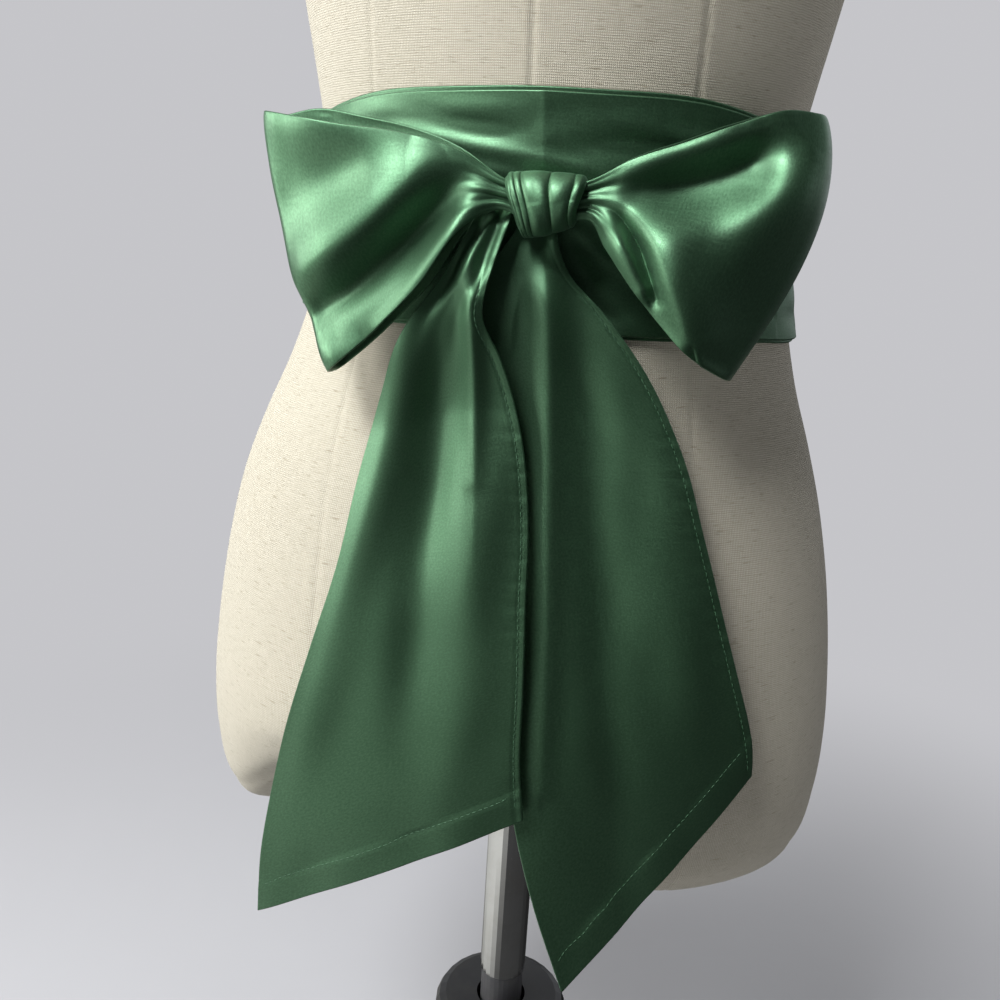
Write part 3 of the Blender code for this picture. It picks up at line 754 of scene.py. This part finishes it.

# %% [markdown]
# ## The two turns round the waist
#
# The band is one strip that passes round twice, so two edges show at the top, one just above
# the other. It was stored folded, which left a sharp pressed line down its front, and the tied
# end pulls the cloth up from the left over the middle. The folds are placed on the front and go
# on as softer slanting ones round the sides and back.

# %% The two turns round the waist
BAND_BOTTOM = 608.0
BAND_TOP = 702.8
BAND_LEFT_DROP = 13.0
BAND_RIGHT_DROP = 15.0
INNER_RISE = 1.9
INNER_CLEARANCE = 1.5
WRAP_STEP = 1.8
FRONT_DENSITY = 0.45

# The tied end pulls a wedge of cloth forward, under a line that falls to the right
PULL_LEFT = -62.0
PULL_TOP = 685.8
PULL_SLOPE = 0.20
PULL_STEP = 7.0
PULL_LIFT = 0.8
PULL_FOOT = (666.0, 673.0)
PULL_START = (-72.0, -52.0)
PULL_END = (14.0, 30.0)
DEEPEST_FOLD = -0.45

# Folds on the front: points (x, z, height), width on the left, width on the right, power
BAND_FOLDS = (
    (((5, 709, 1.1), (5.5, 692, 1.2), (6.5, 676, 1)), 9, 7, 1.1),
    (((-70, 689, 0.3), (-48, 685.5, 1), (-12, 679.5, 1.2), (8, 677, 1), (34, 672, 0.2)),
     3, 7, 1.6),
    (((-85, 694, 0.2), (-48, 690, -0.7), (-10, 688, -0.5), (4, 688, 0)), 3, 4, 2),
    (((-60, 700, 0), (-30, 697, 0.5), (-2, 696.5, 0.3)), 3, 3.5, 2),
    (((8, 694, 0), (36, 692, 0.6), (70, 688, 0.5)), 3.5, 4, 2),
    (((8, 685, 0.2), (30, 684, -0.6), (58, 684, -0.5)), 3, 4, 2),
    (((20, 652, 0.3), (42, 634, 1), (72, 618, 0.7)), 4, 3, 1.6),
    (((22, 656, 0.2), (52, 642, 0.8), (86, 632, 0.5)), 4, 3, 1.6),
    (((16, 648, 0.2), (30, 628, 0.8), (46, 612, 0.5)), 3.5, 3, 1.6),
    (((-12, 652, 0.2), (-40, 636, 0.9), (-80, 628, 0.5)), 3.5, 4.5, 1.8),
)
# Slanting creases on the sides and back: start angle, end angle, place at each, width, height
SIDE_CREASES = (
    (0.05, 1.15, 0.25, 0.55, 0.07, 0.9),
    (0.15, 1.90, 0.70, 0.35, 0.06, -0.7),
    (1.00, 2.60, 0.15, 0.60, 0.08, 1.0),
    (1.50, 3.00, 0.80, 0.50, 0.07, 0.9),
    (2.10, 3.30, 0.30, 0.20, 0.05, -0.6),
    (-0.60, 0.60, 0.45, 0.40, 0.08, 0.8),
)


def band_grid(around, levels, outwards, rise):
    """A turn of the band: its top edge first, with more columns on the front."""
    steps = np.linspace(0, 2 * math.pi, around, endpoint=False)
    angles = steps - FRONT_DENSITY * np.cos(steps)
    level, angle = np.meshgrid(close_set(levels), angles, indexing="ij")
    left = np.clip(-np.cos(angle), 0.0, 1.0)
    right = np.clip(np.cos(angle), 0.0, 1.0)
    top = BAND_TOP + rise - BAND_LEFT_DROP * left ** 3 - BAND_RIGHT_DROP * right ** 5
    bottom = BAND_BOTTOM - 0.8 * rise - 1.5 * left ** 2 - 3.0 * right ** 3
    top = top + 0.3 * np.sin(5 * angle + 1.0) + 0.2 * np.sin(11 * angle)
    bottom = bottom + 0.4 * np.sin(7 * angle)
    return form_point(top + (bottom - top) * level, angle, outwards), level, angle


def side_lift(level, angle):
    """The slanting creases, each as a soft ridge between two angles."""
    lift = np.zeros_like(level)
    for start, end, first, last, width, height in SIDE_CREASES:
        share = turn_from(start, angle) / (end - start)
        fade = ease(0.0, 0.2, share) * (1 - ease(0.8, 1.0, share))
        lift += height * fade * bump(level, first + (last - first) * share, width)
    return lift


def make_band(name, node, around, levels, outwards, rise, folded):
    """A turn of the band: nearly plain, or with all of its folds."""
    grid, level, angle = band_grid(around, levels, outwards, rise)
    x = grid[..., 0]
    z = grid[..., 2]
    lift = 0.10 * wrinkles(angle * 110, z, 3, 60.0, 12.0)
    if folded:
        facing = ease(0.15, 0.5, -np.sin(angle))
        lift = lift + facing * folds(x, z, BAND_FOLDS) + side_lift(level, angle)
        lift = lift + 0.14 * wrinkles(angle * 110, z, 5, 50.0, 11.0)
        pull_edge = PULL_TOP - PULL_SLOPE * (x - PULL_LEFT)
        wedge = ease(0.0, PULL_STEP, pull_edge - z) * ease(*PULL_FOOT, z)
        wedge = wedge * ease(*PULL_START, x) * (1 - ease(*PULL_END, x))
        lift = np.maximum(lift + PULL_LIFT * facing * wedge, DEEPEST_FOLD)
    else:
        lift = np.clip(lift, -0.2, 0.2)
    grid = grid + outward(angle) * lift[..., None]
    piece = make_cloth(name, grid, satin, joined=True)
    finish_piece(piece, "satin", node)
    print(name, "shows", round(one_side(grid, joined=True), 4), "square metres")
    return piece


band_inner = make_band(
    "band_inner", "wrap_inner", 300, 26, INNER_CLEARANCE, INNER_RISE, folded=False)
band_outer = make_band(
    "band_outer", "wrap_outer", 560, 74, INNER_CLEARANCE + WRAP_STEP, 0.0, folded=True)

# %% [markdown]
# ## The knot
#
# A short stretch of the strip goes over the middle of the bow. It is gathered to a third of its
# width, so it shows as pillows of cloth between narrow grooves. It is a tube with its axis
# across the front. The knot is drawn in towards its lower right: its left side leans in, its
# right side leans back and its underside climbs, and the grooves follow.

# %% The knot
KNOT_CENTRE = (10.0, -113.5, 658.0)
KNOT_HALF_LENGTH = 16.5
KNOT_HALF_DEPTH = 12.4
KNOT_HALF_HEIGHT = 13.6
KNOT_SQUARENESS = 2.3
KNOT_LEFT_LEAN = 8.0
KNOT_RIGHT_LEAN = -4.0
KNOT_CLIMB = 6.0
KNOT_GROOVES = (-16.5, -14.3, -12.0, -9.0, 2.6, 12.4, 16.5)
KNOT_PILLOWS = (0.7, 0.9, 1.1, 2.0, 1.8, 1.0)


def knot_pillows(along):
    """The height of the pleats along the knot."""
    lift = np.zeros_like(along)
    for start, end, height in zip(KNOT_GROOVES[:-1], KNOT_GROOVES[1:], KNOT_PILLOWS):
        share = np.clip(2 * (along - start) / (end - start) - 1, -1, 1)
        inside = (along >= start) & (along <= end)
        lift = np.where(inside, height * np.sqrt(1 - np.abs(share) ** 2.4), lift)
    return lift


def make_knot():
    """A short tube across the front, its axis along X."""
    turns = np.linspace(0, 2 * math.pi, 170, endpoint=False)
    place, turn_round = np.meshgrid(2 * close_set(110) - 1, turns, indexing="ij")
    along = place * KNOT_HALF_LENGTH
    towards = ease(-0.4, 0.5, np.cos(turn_round))
    waver = 0.7 * np.sin(turn_round + 0.5) + 0.3 * np.sin(3 * turn_round + along * 0.2)
    lift = knot_pillows(along + waver) - 0.8
    lift = lift + 0.10 * wrinkles(along, turn_round * 13, 11, 7.0, 16.0)
    power = 2.0 / KNOT_SQUARENESS
    forward = np.sign(np.cos(turn_round)) * np.abs(np.cos(turn_round)) ** power
    upward = np.sign(np.sin(turn_round)) * np.abs(np.sin(turn_round)) ** power
    pinch = 1.0 - 0.06 * place ** 2 - 0.12 * ease(0.88, 1.0, np.abs(place))
    y = KNOT_CENTRE[1] - forward * (KNOT_HALF_DEPTH * pinch + lift * towards - 0.6)
    z = KNOT_CENTRE[2] + upward * (KNOT_HALF_HEIGHT * pinch + 0.5 * lift * towards - 0.6)
    low = 1 - ease(-1.0, 1.1, (z - KNOT_CENTRE[2]) / KNOT_HALF_HEIGHT)
    rightwards = (place + 1) / 2
    lean = KNOT_LEFT_LEAN * (1 - rightwards) + KNOT_RIGHT_LEAN * rightwards
    x = KNOT_CENTRE[0] + along + lean * low
    z = z + KNOT_CLIMB * rightwards * low
    grid = np.stack([x, y, z], axis=-1)
    piece = make_cloth("bow_knot", grid, satin, joined=True)
    finish_piece(piece, "satin", "knot")
    return piece, one_side(grid, joined=True)


bow_knot, knot_area = make_knot()
print("the knot shows", round(knot_area, 5), "square metres")

# %% [markdown]
# ## The loops
#
# Each loop runs out from the knot along its back, turns at an outer fold and comes back along
# its front. Its rows give the top and bottom edge at each distance from the knot, and how far
# the two layers swell apart. The folds fan out from the knot, because all of the cloth's width
# is gathered there.

# %% The loops
LOOP_COLUMNS = ("reach", "top_x", "top_z", "bottom_x", "bottom_z",
                "front_swell", "back_swell", "back_rise")
LEFT_LOOP_ROWS = (
    (0.00, 4, 665.5, 4, 652.5, 2.6, 2.6, 0),
    (0.09, -7, 668, -7, 656.5, 3.2, 2.8, 0),
    (0.22, -24, 677, -20, 650, 9, 3.4, 1),
    (0.42, -48, 683, -37.5, 625.5, 14, 5, 3.5),
    (0.62, -73, 685, -53, 609, 18, 7.5, 6),
    (0.82, -93, 687.5, -66.5, 596, 19, 8.5, 6),
    (1.00, -111, 690, -80, 584.5, 14, 6, 0))
RIGHT_LOOP_ROWS = (
    (0.00, 16, 665.5, 16, 651.5, 2.6, 2.6, 0),
    (0.09, 27, 668.5, 27, 654.5, 3.2, 2.8, 0),
    (0.22, 42, 676.5, 36, 644, 11, 3.6, 1.5),
    (0.42, 62, 684, 48, 629, 18, 5.5, 2.5),
    (0.62, 81, 691.5, 60, 616, 24, 8, 3),
    (0.82, 100, 698, 74, 603.5, 26, 9, 2),
    (1.00, 117, 698, 91, 593, 13, 7, 0))

# Folds of the fronts: points (x, z, height), width on the left, width on the right, power
LEFT_LOOP_FOLDS = (
    (((-31, 678, 1), (-39, 672, 3.5), (-47, 662.5, 6.5), (-58, 651.5, 8), (-74, 638.5, 8),
      (-98, 621.5, 5)), 8, 15, 2),
    (((-16, 669, -2), (-28, 660.5, -5.5), (-41.5, 646, -8), (-52.5, 635, -8),
      (-68.5, 621, -7), (-88, 608, -4)), 7, 6.5, 2),
    (((-8, 664, 1), (-16, 657.5, 4.5), (-22.5, 648, 7), (-29, 637.5, 8), (-38.5, 623, 7),
      (-49.5, 608, 4)), 6, 6.5, 2),
    (((-60, 599, 0.5), (-73, 592.5, 5), (-86, 592, 5), (-96, 600, 1)), 7, 10, 2),
    (((-44, 684, 0.5), (-62, 685, 5), (-82, 687, 8.5), (-108, 690, 6.5)), 15, 15, 2),
    (((-60, 668, -0.5), (-80, 662, -3), (-98, 652, -2.5), (-104, 640, -1)), 14, 14, 2),
)
RIGHT_LOOP_FOLDS = (
    (((30, 662.5, -1.5), (42, 664, -6.5), (50, 665.5, -9.5), (60, 667.5, -12), (70, 670, -12.5),
      (80, 673.5, -11.5), (89, 678, -9.5), (98, 685, -5), (104, 691, -1)), 9, 12, 2),
    (((30, 668, 0.5), (48, 675.5, 2), (66, 682.5, 2.5), (86, 690, 1)), 4, 5, 2),
    (((40, 650, 1), (60, 646, 2.5), (78, 648, 4.5), (94, 655, 6.5), (109, 668, 8),
      (117, 683, 5)), 14, 20, 2),
    (((35, 663.5, 1), (46, 659, 4), (53.5, 651, 7), (59, 641, 9), (65, 628, 10),
      (72, 612, 7)), 15, 7, 2),
    (((30, 663, -1), (41, 655, -5), (48.5, 645.5, -8), (53, 636.5, -6), (58, 626, -3)),
     2.5, 2.5, 1.6),
    (((30, 656.5, 0.5), (38, 649, 6), (45, 640, 7), (51, 630, 5)), 5, 6, 2),
    (((88, 690, -0.5), (91, 680, -2.5), (91, 672, -1.5)), 7, 8, 2),
    (((60, 614, 0.5), (74, 603, 2.5), (88, 595, 2)), 3, 3, 1.8),
)
LEFT_BACK_FOLDS = (
    (((-30, 680, 1), (-60, 686, 3), (-84, 690, 1)), 5, 8, 2),
    (((-40, 665, 1), (-60, 650, 2.5), (-85, 640, 1)), 10, 10, 2),
)
RIGHT_BACK_FOLDS = (
    (((40, 668, 1), (66, 664, 2.5), (96, 670, 1)), 10, 10, 2),
    (((40, 652, 1), (58, 636, 2), (80, 620, 1)), 8, 8, 2),
)
LOOP_FOLD_RADIUS = 5.0
LOOP_SLANT = 4.0


def loop_grid(rows, front_folds, back_folds, side, sweep, bow_size, seed):
    """The middle of a loop. side is -1 for the left loop and 1 for the right."""
    along = 96
    length = math.hypot(rows[-1][1] - rows[0][1], rows[-1][2] - rows[0][2])
    roll = LOOP_FOLD_RADIUS / length
    straight = np.linspace(0.0, 1.0, along) ** 1.1
    back = [(reach * (1 - roll), -1.0) for reach in straight[:-1]]
    rounds = [(1 - roll + roll * math.cos(turned), math.sin(turned))
              for turned in np.linspace(-math.pi / 2, math.pi / 2, 15)]
    front = [(reach * (1 - roll), 1.0) for reach in straight[:-1][::-1]]
    path_points = np.array(back + rounds + front)
    place, reach = np.meshgrid(close_set(118), path_points[:, 0])
    facing = np.broadcast_to(path_points[:, 1:2], reach.shape)

    def read(name):
        return smooth_column(rows, LOOP_COLUMNS, name, reach)

    is_back = (1 - facing) / 2
    is_front = ease(0.0, 1.0, facing)
    top_z = read("top_z") + read("back_rise") * is_back
    bow = bow_size * np.sin(math.pi * place ** 0.8) * reach ** 3
    x = read("top_x") + (read("bottom_x") - read("top_x")) * place + side * bow
    z = top_z + (read("bottom_z") - top_z) * place
    pillow = 0.84 + 0.16 * np.sin(math.pi * place) ** 0.8
    round_off = ease(0.05, 0.25, reach) * (1 - ease(0.85, 1.0, reach))
    swell = np.where(facing > 0, read("front_swell"), read("back_swell")) * facing
    swell = swell * (1 - round_off * (1 - pillow))
    free = ease(0.06, 0.30, reach)
    lift = is_front * free * (1 - 0.4 * ease(0.9, 1.0, reach)) * folds(x, z, front_folds)
    lift = lift + is_back * free * (1 - ease(0.8, 1.0, reach)) * folds(x, z, back_folds) * -1.0
    gathers = (1 - ease(0.02, 0.34, reach)) * ease(0.0, 0.03, reach)
    pleats = np.sin(2 * math.pi * 2.5 * place + 0.6) + 0.35 * np.sin(2 * math.pi * 6.0 * place + 2.0)
    lift = lift + 0.9 * gathers * pleats
    lift = lift + 0.22 * free * wrinkles(reach * length, place * 100, seed, 70.0, 34.0)
    outwards = np.abs(x - KNOT_CENTRE[0])
    y = KNOT_CENTRE[1] + sweep * np.maximum(outwards - KNOT_HALF_LENGTH, 0.0) - swell - lift
    y = y + LOOP_SLANT * (0.5 - place) * ease(0.2, 0.9, reach)
    return np.stack([x, y, z], axis=-1)


LOOPS = (
    ("bow_loop_left", "loop_left",
     (LEFT_LOOP_ROWS, LEFT_LOOP_FOLDS, LEFT_BACK_FOLDS, -1.0, 0.18, 7.0, 21)),
    ("bow_loop_right", "loop_right",
     (RIGHT_LOOP_ROWS, RIGHT_LOOP_FOLDS, RIGHT_BACK_FOLDS, 1.0, 0.33, 13.0, 31)))
for name, node, shape in LOOPS:
    grid = loop_grid(*shape)
    piece = make_cloth(name, grid, satin)
    finish_piece(piece, "satin", node)
    print(name, "shows", round(one_side(grid), 4), "square metres")

# %% [markdown]
# ## The tails
#
# The tails hang from behind the knot. Their rows give the left and right edge at each share of
# the length, so the slanted hems come from the last row. The left tail has a tube-like fold
# under the knot; the right one has a sharp fold down its left side, beyond which it turns back
# into the gap between the two.
#
# A row of stitches runs down the right edge of each tail and another along its hem. Each stitch
# is a small stretched sphere, turned along its row, and a tail's stitches are joined.

# %% The tails
TAIL_COLUMNS = ("length", "left_x", "left_z", "right_x", "right_z", "depth")
LEFT_TAIL_ROWS = (
    (0.00, -16, 665, 0, 665, -99.2),
    (0.05, -19, 651, -4, 652, -99.5),
    (0.11, -30, 629, -9, 634, -104),
    (0.17, -46, 604, -12, 615, -109.5),
    (0.24, -55, 578, -4, 596, -112.5),
    (0.34, -64, 545, 6, 566, -115.5),
    (0.47, -73, 500, 12, 530, -120),
    (0.60, -85, 458, 14, 494, -125.5),
    (0.75, -99, 405, 16, 456, -130.5),
    (0.88, -109, 350, 17, 421, -132.5),
    (1.00, -112, 310, 20, 392, -131.5))
RIGHT_TAIL_ROWS = (
    (0.00, 3.5, 665, 18, 665, -99.2),
    (0.05, -1.5, 650, 14, 650, -99.3),
    (0.10, -11, 634, 20, 633, -100.8),
    (0.16, -14, 617, 36, 617, -103),
    (0.24, -10, 594, 55, 594, -105.5),
    (0.34, -2, 561, 74, 560, -108),
    (0.46, 4, 522, 88, 522, -113),
    (0.60, 8, 470, 101, 484, -120),
    (0.72, 10, 425, 110, 458, -124.5),
    (0.82, 16, 385, 117, 437, -126),
    (0.91, 28, 341, 120, 423, -126),
    (1.00, 44, 295, 121, 412, -125))
LEFT_TAIL_FOLDS = (
    (((-12, 664, 1), (-17, 655, 4.5), (-18.5, 643, 6), (-18, 630, 6), (-16.5, 615, 5),
      (-15.5, 600, 4), (-14, 575, 3), (-12, 545, 1)), 4, 5, 1.8),
    (((-24, 632, -1.5), (-26, 612, -3.5), (-28, 592, -5), (-31, 566, -5.5), (-32, 535, -5),
      (-34, 500, -3.5), (-36, 460, -2.5), (-38, 420, -1)), 10, 10, 2),
    (((-32, 625, 1), (-42, 596, 3.5), (-51, 566, 4.5), (-57, 535, 4.5), (-64, 500, 4),
      (-74, 460, 3), (-84, 415, 2), (-96, 360, 0.5)), 11, 9, 2),
    (((-9, 575, 0.5), (-9, 540, 3), (-9, 505, 4), (-10, 460, 3), (-14, 420, 1.5),
      (-18, 390, 0.5)), 13, 12, 2),
    (((-15.5, 607, 0.4), (-13, 570, 0.9), (-10.5, 530, 0.6), (-9, 500, 0)), 5, 3, 1.1),
)
RIGHT_TAIL_FOLDS = (
    (((8, 646, 1.5), (10, 636, 4), (13, 620, 5), (15, 600, 5.5), (17.5, 570, 5.5),
      (20, 536, 5), (23, 492, 4), (25.5, 448, 3), (27, 405, 1.5)), 6, 8, 1.7),
    (((19, 637, -1.5), (26, 613, -3.5), (32, 580, -4.5), (38, 538, -4.5), (45, 494, -4),
      (53, 449, -3), (62, 400, -2), (66, 350, -0.5)), 12, 9, 2),
    (((38, 606, 0.5), (56, 574, 2), (70, 541, 3), (82, 498, 3.5), (90, 454, 3),
      (92, 415, 1)), 12, 15, 2),
    (((1, 628, 0.3), (-1, 612, 1), (-1.5, 600, 0.5)), 1.5, 3, 1.3),
)
HEM_DEPTH = 14.0
HEM_STITCH = 1.0
EDGE_STITCH = 3.0
STITCH_PITCH = 3.1
STITCH_LENGTH = 2.5
STITCH_RADIUS = 0.20
THREAD_LIFT = 0.30
LINE_SMOOTHING = 6


def hem_distance(rows, x, z):
    """How far points are from a tail's slanted end."""
    _, left_x, left_z, right_x, right_z, _ = rows[-1]
    slope = np.array([right_x - left_x, right_z - left_z])
    slope = slope / np.linalg.norm(slope)
    return np.abs((x - left_x) * slope[1] - (z - left_z) * slope[0])


def tail_grid(rows, fold_table, forward, curl, seed):
    """The middle of a tail and its thickness, which is greater in the hem."""
    lengths = np.linspace(0, 1, 232) ** 1.1
    length, across = np.meshgrid(np.append(lengths[:-1], [0.9985, 1.0]), close_set(112), indexing="ij")

    def read(name):
        return smooth_column(rows, TAIL_COLUMNS, name, length)

    x = read("left_x") + (read("right_x") - read("left_x")) * across
    z = read("left_z") + (read("right_z") - read("left_z")) * across
    width = np.hypot(read("right_x") - read("left_x"), read("right_z") - read("left_z"))
    free = ease(0.03, 0.15, length)
    lift = free * folds(x, z, fold_table)
    gathers = (1 - ease(0.02, 0.16, length)) * 0.9
    lift = lift + gathers * np.cos(2 * math.pi * 2 * across + 0.5)
    lift = lift + 0.50 * free * wrinkles(across * 130, z, seed, 60.0, 80.0)
    lift = lift + 0.08 * free * wrinkles(across * 130, z, seed + 1, 26.0, 60.0)

    # The edge is topstitched, and the thread draws it into small puckers
    from_edge = (1 - across) * width
    pull = np.sin(2 * math.pi * z / 9.0 + 2.0 * np.sin(z / 31.0)) + 0.5 * np.sin(2 * math.pi * z / 5.3)
    patchy = 0.5 + 0.5 * np.sin(z / 17.0 + 1.0) * np.sin(z / 41.0)
    lift = lift + 0.22 * bump(from_edge, 0.0, 7.0) * pull * patchy * free
    lift = lift - 0.30 * bump(from_edge, EDGE_STITCH, 0.8) * free

    # The hem is turned up twice, so the cloth steps out there and dips along the stitches
    from_hem = hem_distance(rows, x, z)
    hem = 1 - ease(HEM_DEPTH - 0.6, HEM_DEPTH + 0.6, from_hem)
    lift = lift + 0.25 * hem * free - 0.3 * bump(from_hem - HEM_DEPTH + HEM_STITCH, 0.0, 0.9)
    lift = lift + 0.22 * hem * wrinkles(across * 130, from_hem, seed + 2, 30.0, 60.0)
    near_knot = ease(0.0, 0.06, length) * (1 - ease(0.12, 0.30, length))
    y = read("depth") + curl * x ** 2 - lift - forward * near_knot
    return np.stack([x, y, z], axis=-1), CLOTH + 0.5 * hem


def thread_level(grid):
    """The grid moved out to the front of a tail, where its thread lies."""
    normal = unit(np.cross(np.gradient(grid, axis=0), np.gradient(grid, axis=1)))
    normal = normal * np.where(normal[..., 1:2] > 0, -1.0, 1.0)
    return grid + normal * (CLOTH / 2 + THREAD_LIFT)


def edge_line(grid):
    """Points down a tail's front, a little inside its right edge."""
    front = thread_level(grid)
    columns = close_set(grid.shape[1])
    widths = np.hypot(grid[:, -1, 0] - grid[:, 0, 0], grid[:, -1, 2] - grid[:, 0, 2])
    across = 1 - EDGE_STITCH / widths
    line = []
    for share in np.linspace(0.16, 0.97, 400):
        row = int(share * (len(grid) - 1))
        line.append([np.interp(across[row], columns, front[row, :, axis]) for axis in range(3)])
    return np.array(line)


def hem_line(grid, rows):
    """Points along a tail's hem, made even by a moving mean."""
    front = thread_level(grid)
    off = np.abs(hem_distance(rows, grid[..., 0], grid[..., 2]) - HEM_DEPTH + HEM_STITCH)
    line = []
    for share in np.linspace(0.03, 0.97, 200):
        column = int(share * (grid.shape[1] - 1))
        line.append(front[int(np.argmin(off[:, column])), column])
    longer = np.pad(line, ((LINE_SMOOTHING, LINE_SMOOTHING), (0, 0)), mode="edge")
    steps = 2 * LINE_SMOOTHING + 1
    return sum(longer[step:step + len(line)] for step in range(steps)) / steps


def sew(name, lines, material):
    """Rows of short stitches along lines of points, joined into one piece."""
    made = []
    for line in lines:
        run = np.concatenate([[0.0], np.cumsum(np.linalg.norm(np.diff(line, axis=0), axis=1))])
        places = np.arange(0.0, run[-1] - STITCH_PITCH, STITCH_PITCH)
        starts, ends = (
            np.stack([np.interp(at, run, line[:, axis]) for axis in range(3)], axis=1)
            for at in (places, places + STITCH_PITCH))
        for start, end in zip(starts, ends):
            turn = Vector(end - start).to_track_quat("Z", "Y").to_euler()
            bpy.ops.mesh.primitive_uv_sphere_add(
                segments=6, ring_count=4, radius=1.0, location=(start + end) / 2 * MM, rotation=turn,
                scale=(STITCH_RADIUS * MM, STITCH_RADIUS * MM, STITCH_LENGTH / 2 * MM))
            made.append(bpy.context.object)
    bpy.ops.object.select_all(action="DESELECT")
    for stitch in made:
        stitch.select_set(True)
    bpy.context.view_layer.objects.active = made[0]
    bpy.ops.object.join()
    bpy.ops.object.transform_apply(location=True, rotation=True, scale=True)
    piece = bpy.context.object
    piece.name = name
    piece.data.materials.append(material)
    piece.data.shade_smooth()
    return piece


TAILS = (
    ("bow_tail_left", "tail_left", LEFT_TAIL_ROWS, LEFT_TAIL_FOLDS, 14.0, 0.0011, 41),
    ("bow_tail_right", "tail_right", RIGHT_TAIL_ROWS, RIGHT_TAIL_FOLDS, 5.0, 0.0017, 51))
for name, node, rows, fold_table, forward, curl, seed in TAILS:
    grid, thick = tail_grid(rows, fold_table, forward, curl, seed)
    piece = make_cloth(name, grid, satin, thickness=thick)
    finish_piece(piece, "satin", node)
    stitches = sew(name + "_stitches", (edge_line(grid), hem_line(grid, rows)), thread)
    finish_piece(stitches, "satin")
    print(name, "shows", round(one_side(grid), 4), "square metres")

# %% [markdown]
# ## The stand and the neck cap
#
# The stand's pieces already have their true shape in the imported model, so they keep it and only
# take their finish.

# %% The stand and the neck cap
for node, material, slot_name in (
        ("pole", chrome, "chrome"), ("pole_bush", grey_plastic, "grey_plastic"),
        ("stand_hub", black_plastic, "black_plastic"), ("stand_column", black_paint, "black_paint"),
        ("stand_foot", black_paint, "black_paint"), ("neck_cap", black_paint, "black_paint")):
    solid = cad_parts[node]
    solid.data.materials.clear()
    solid.data.materials.append(material)
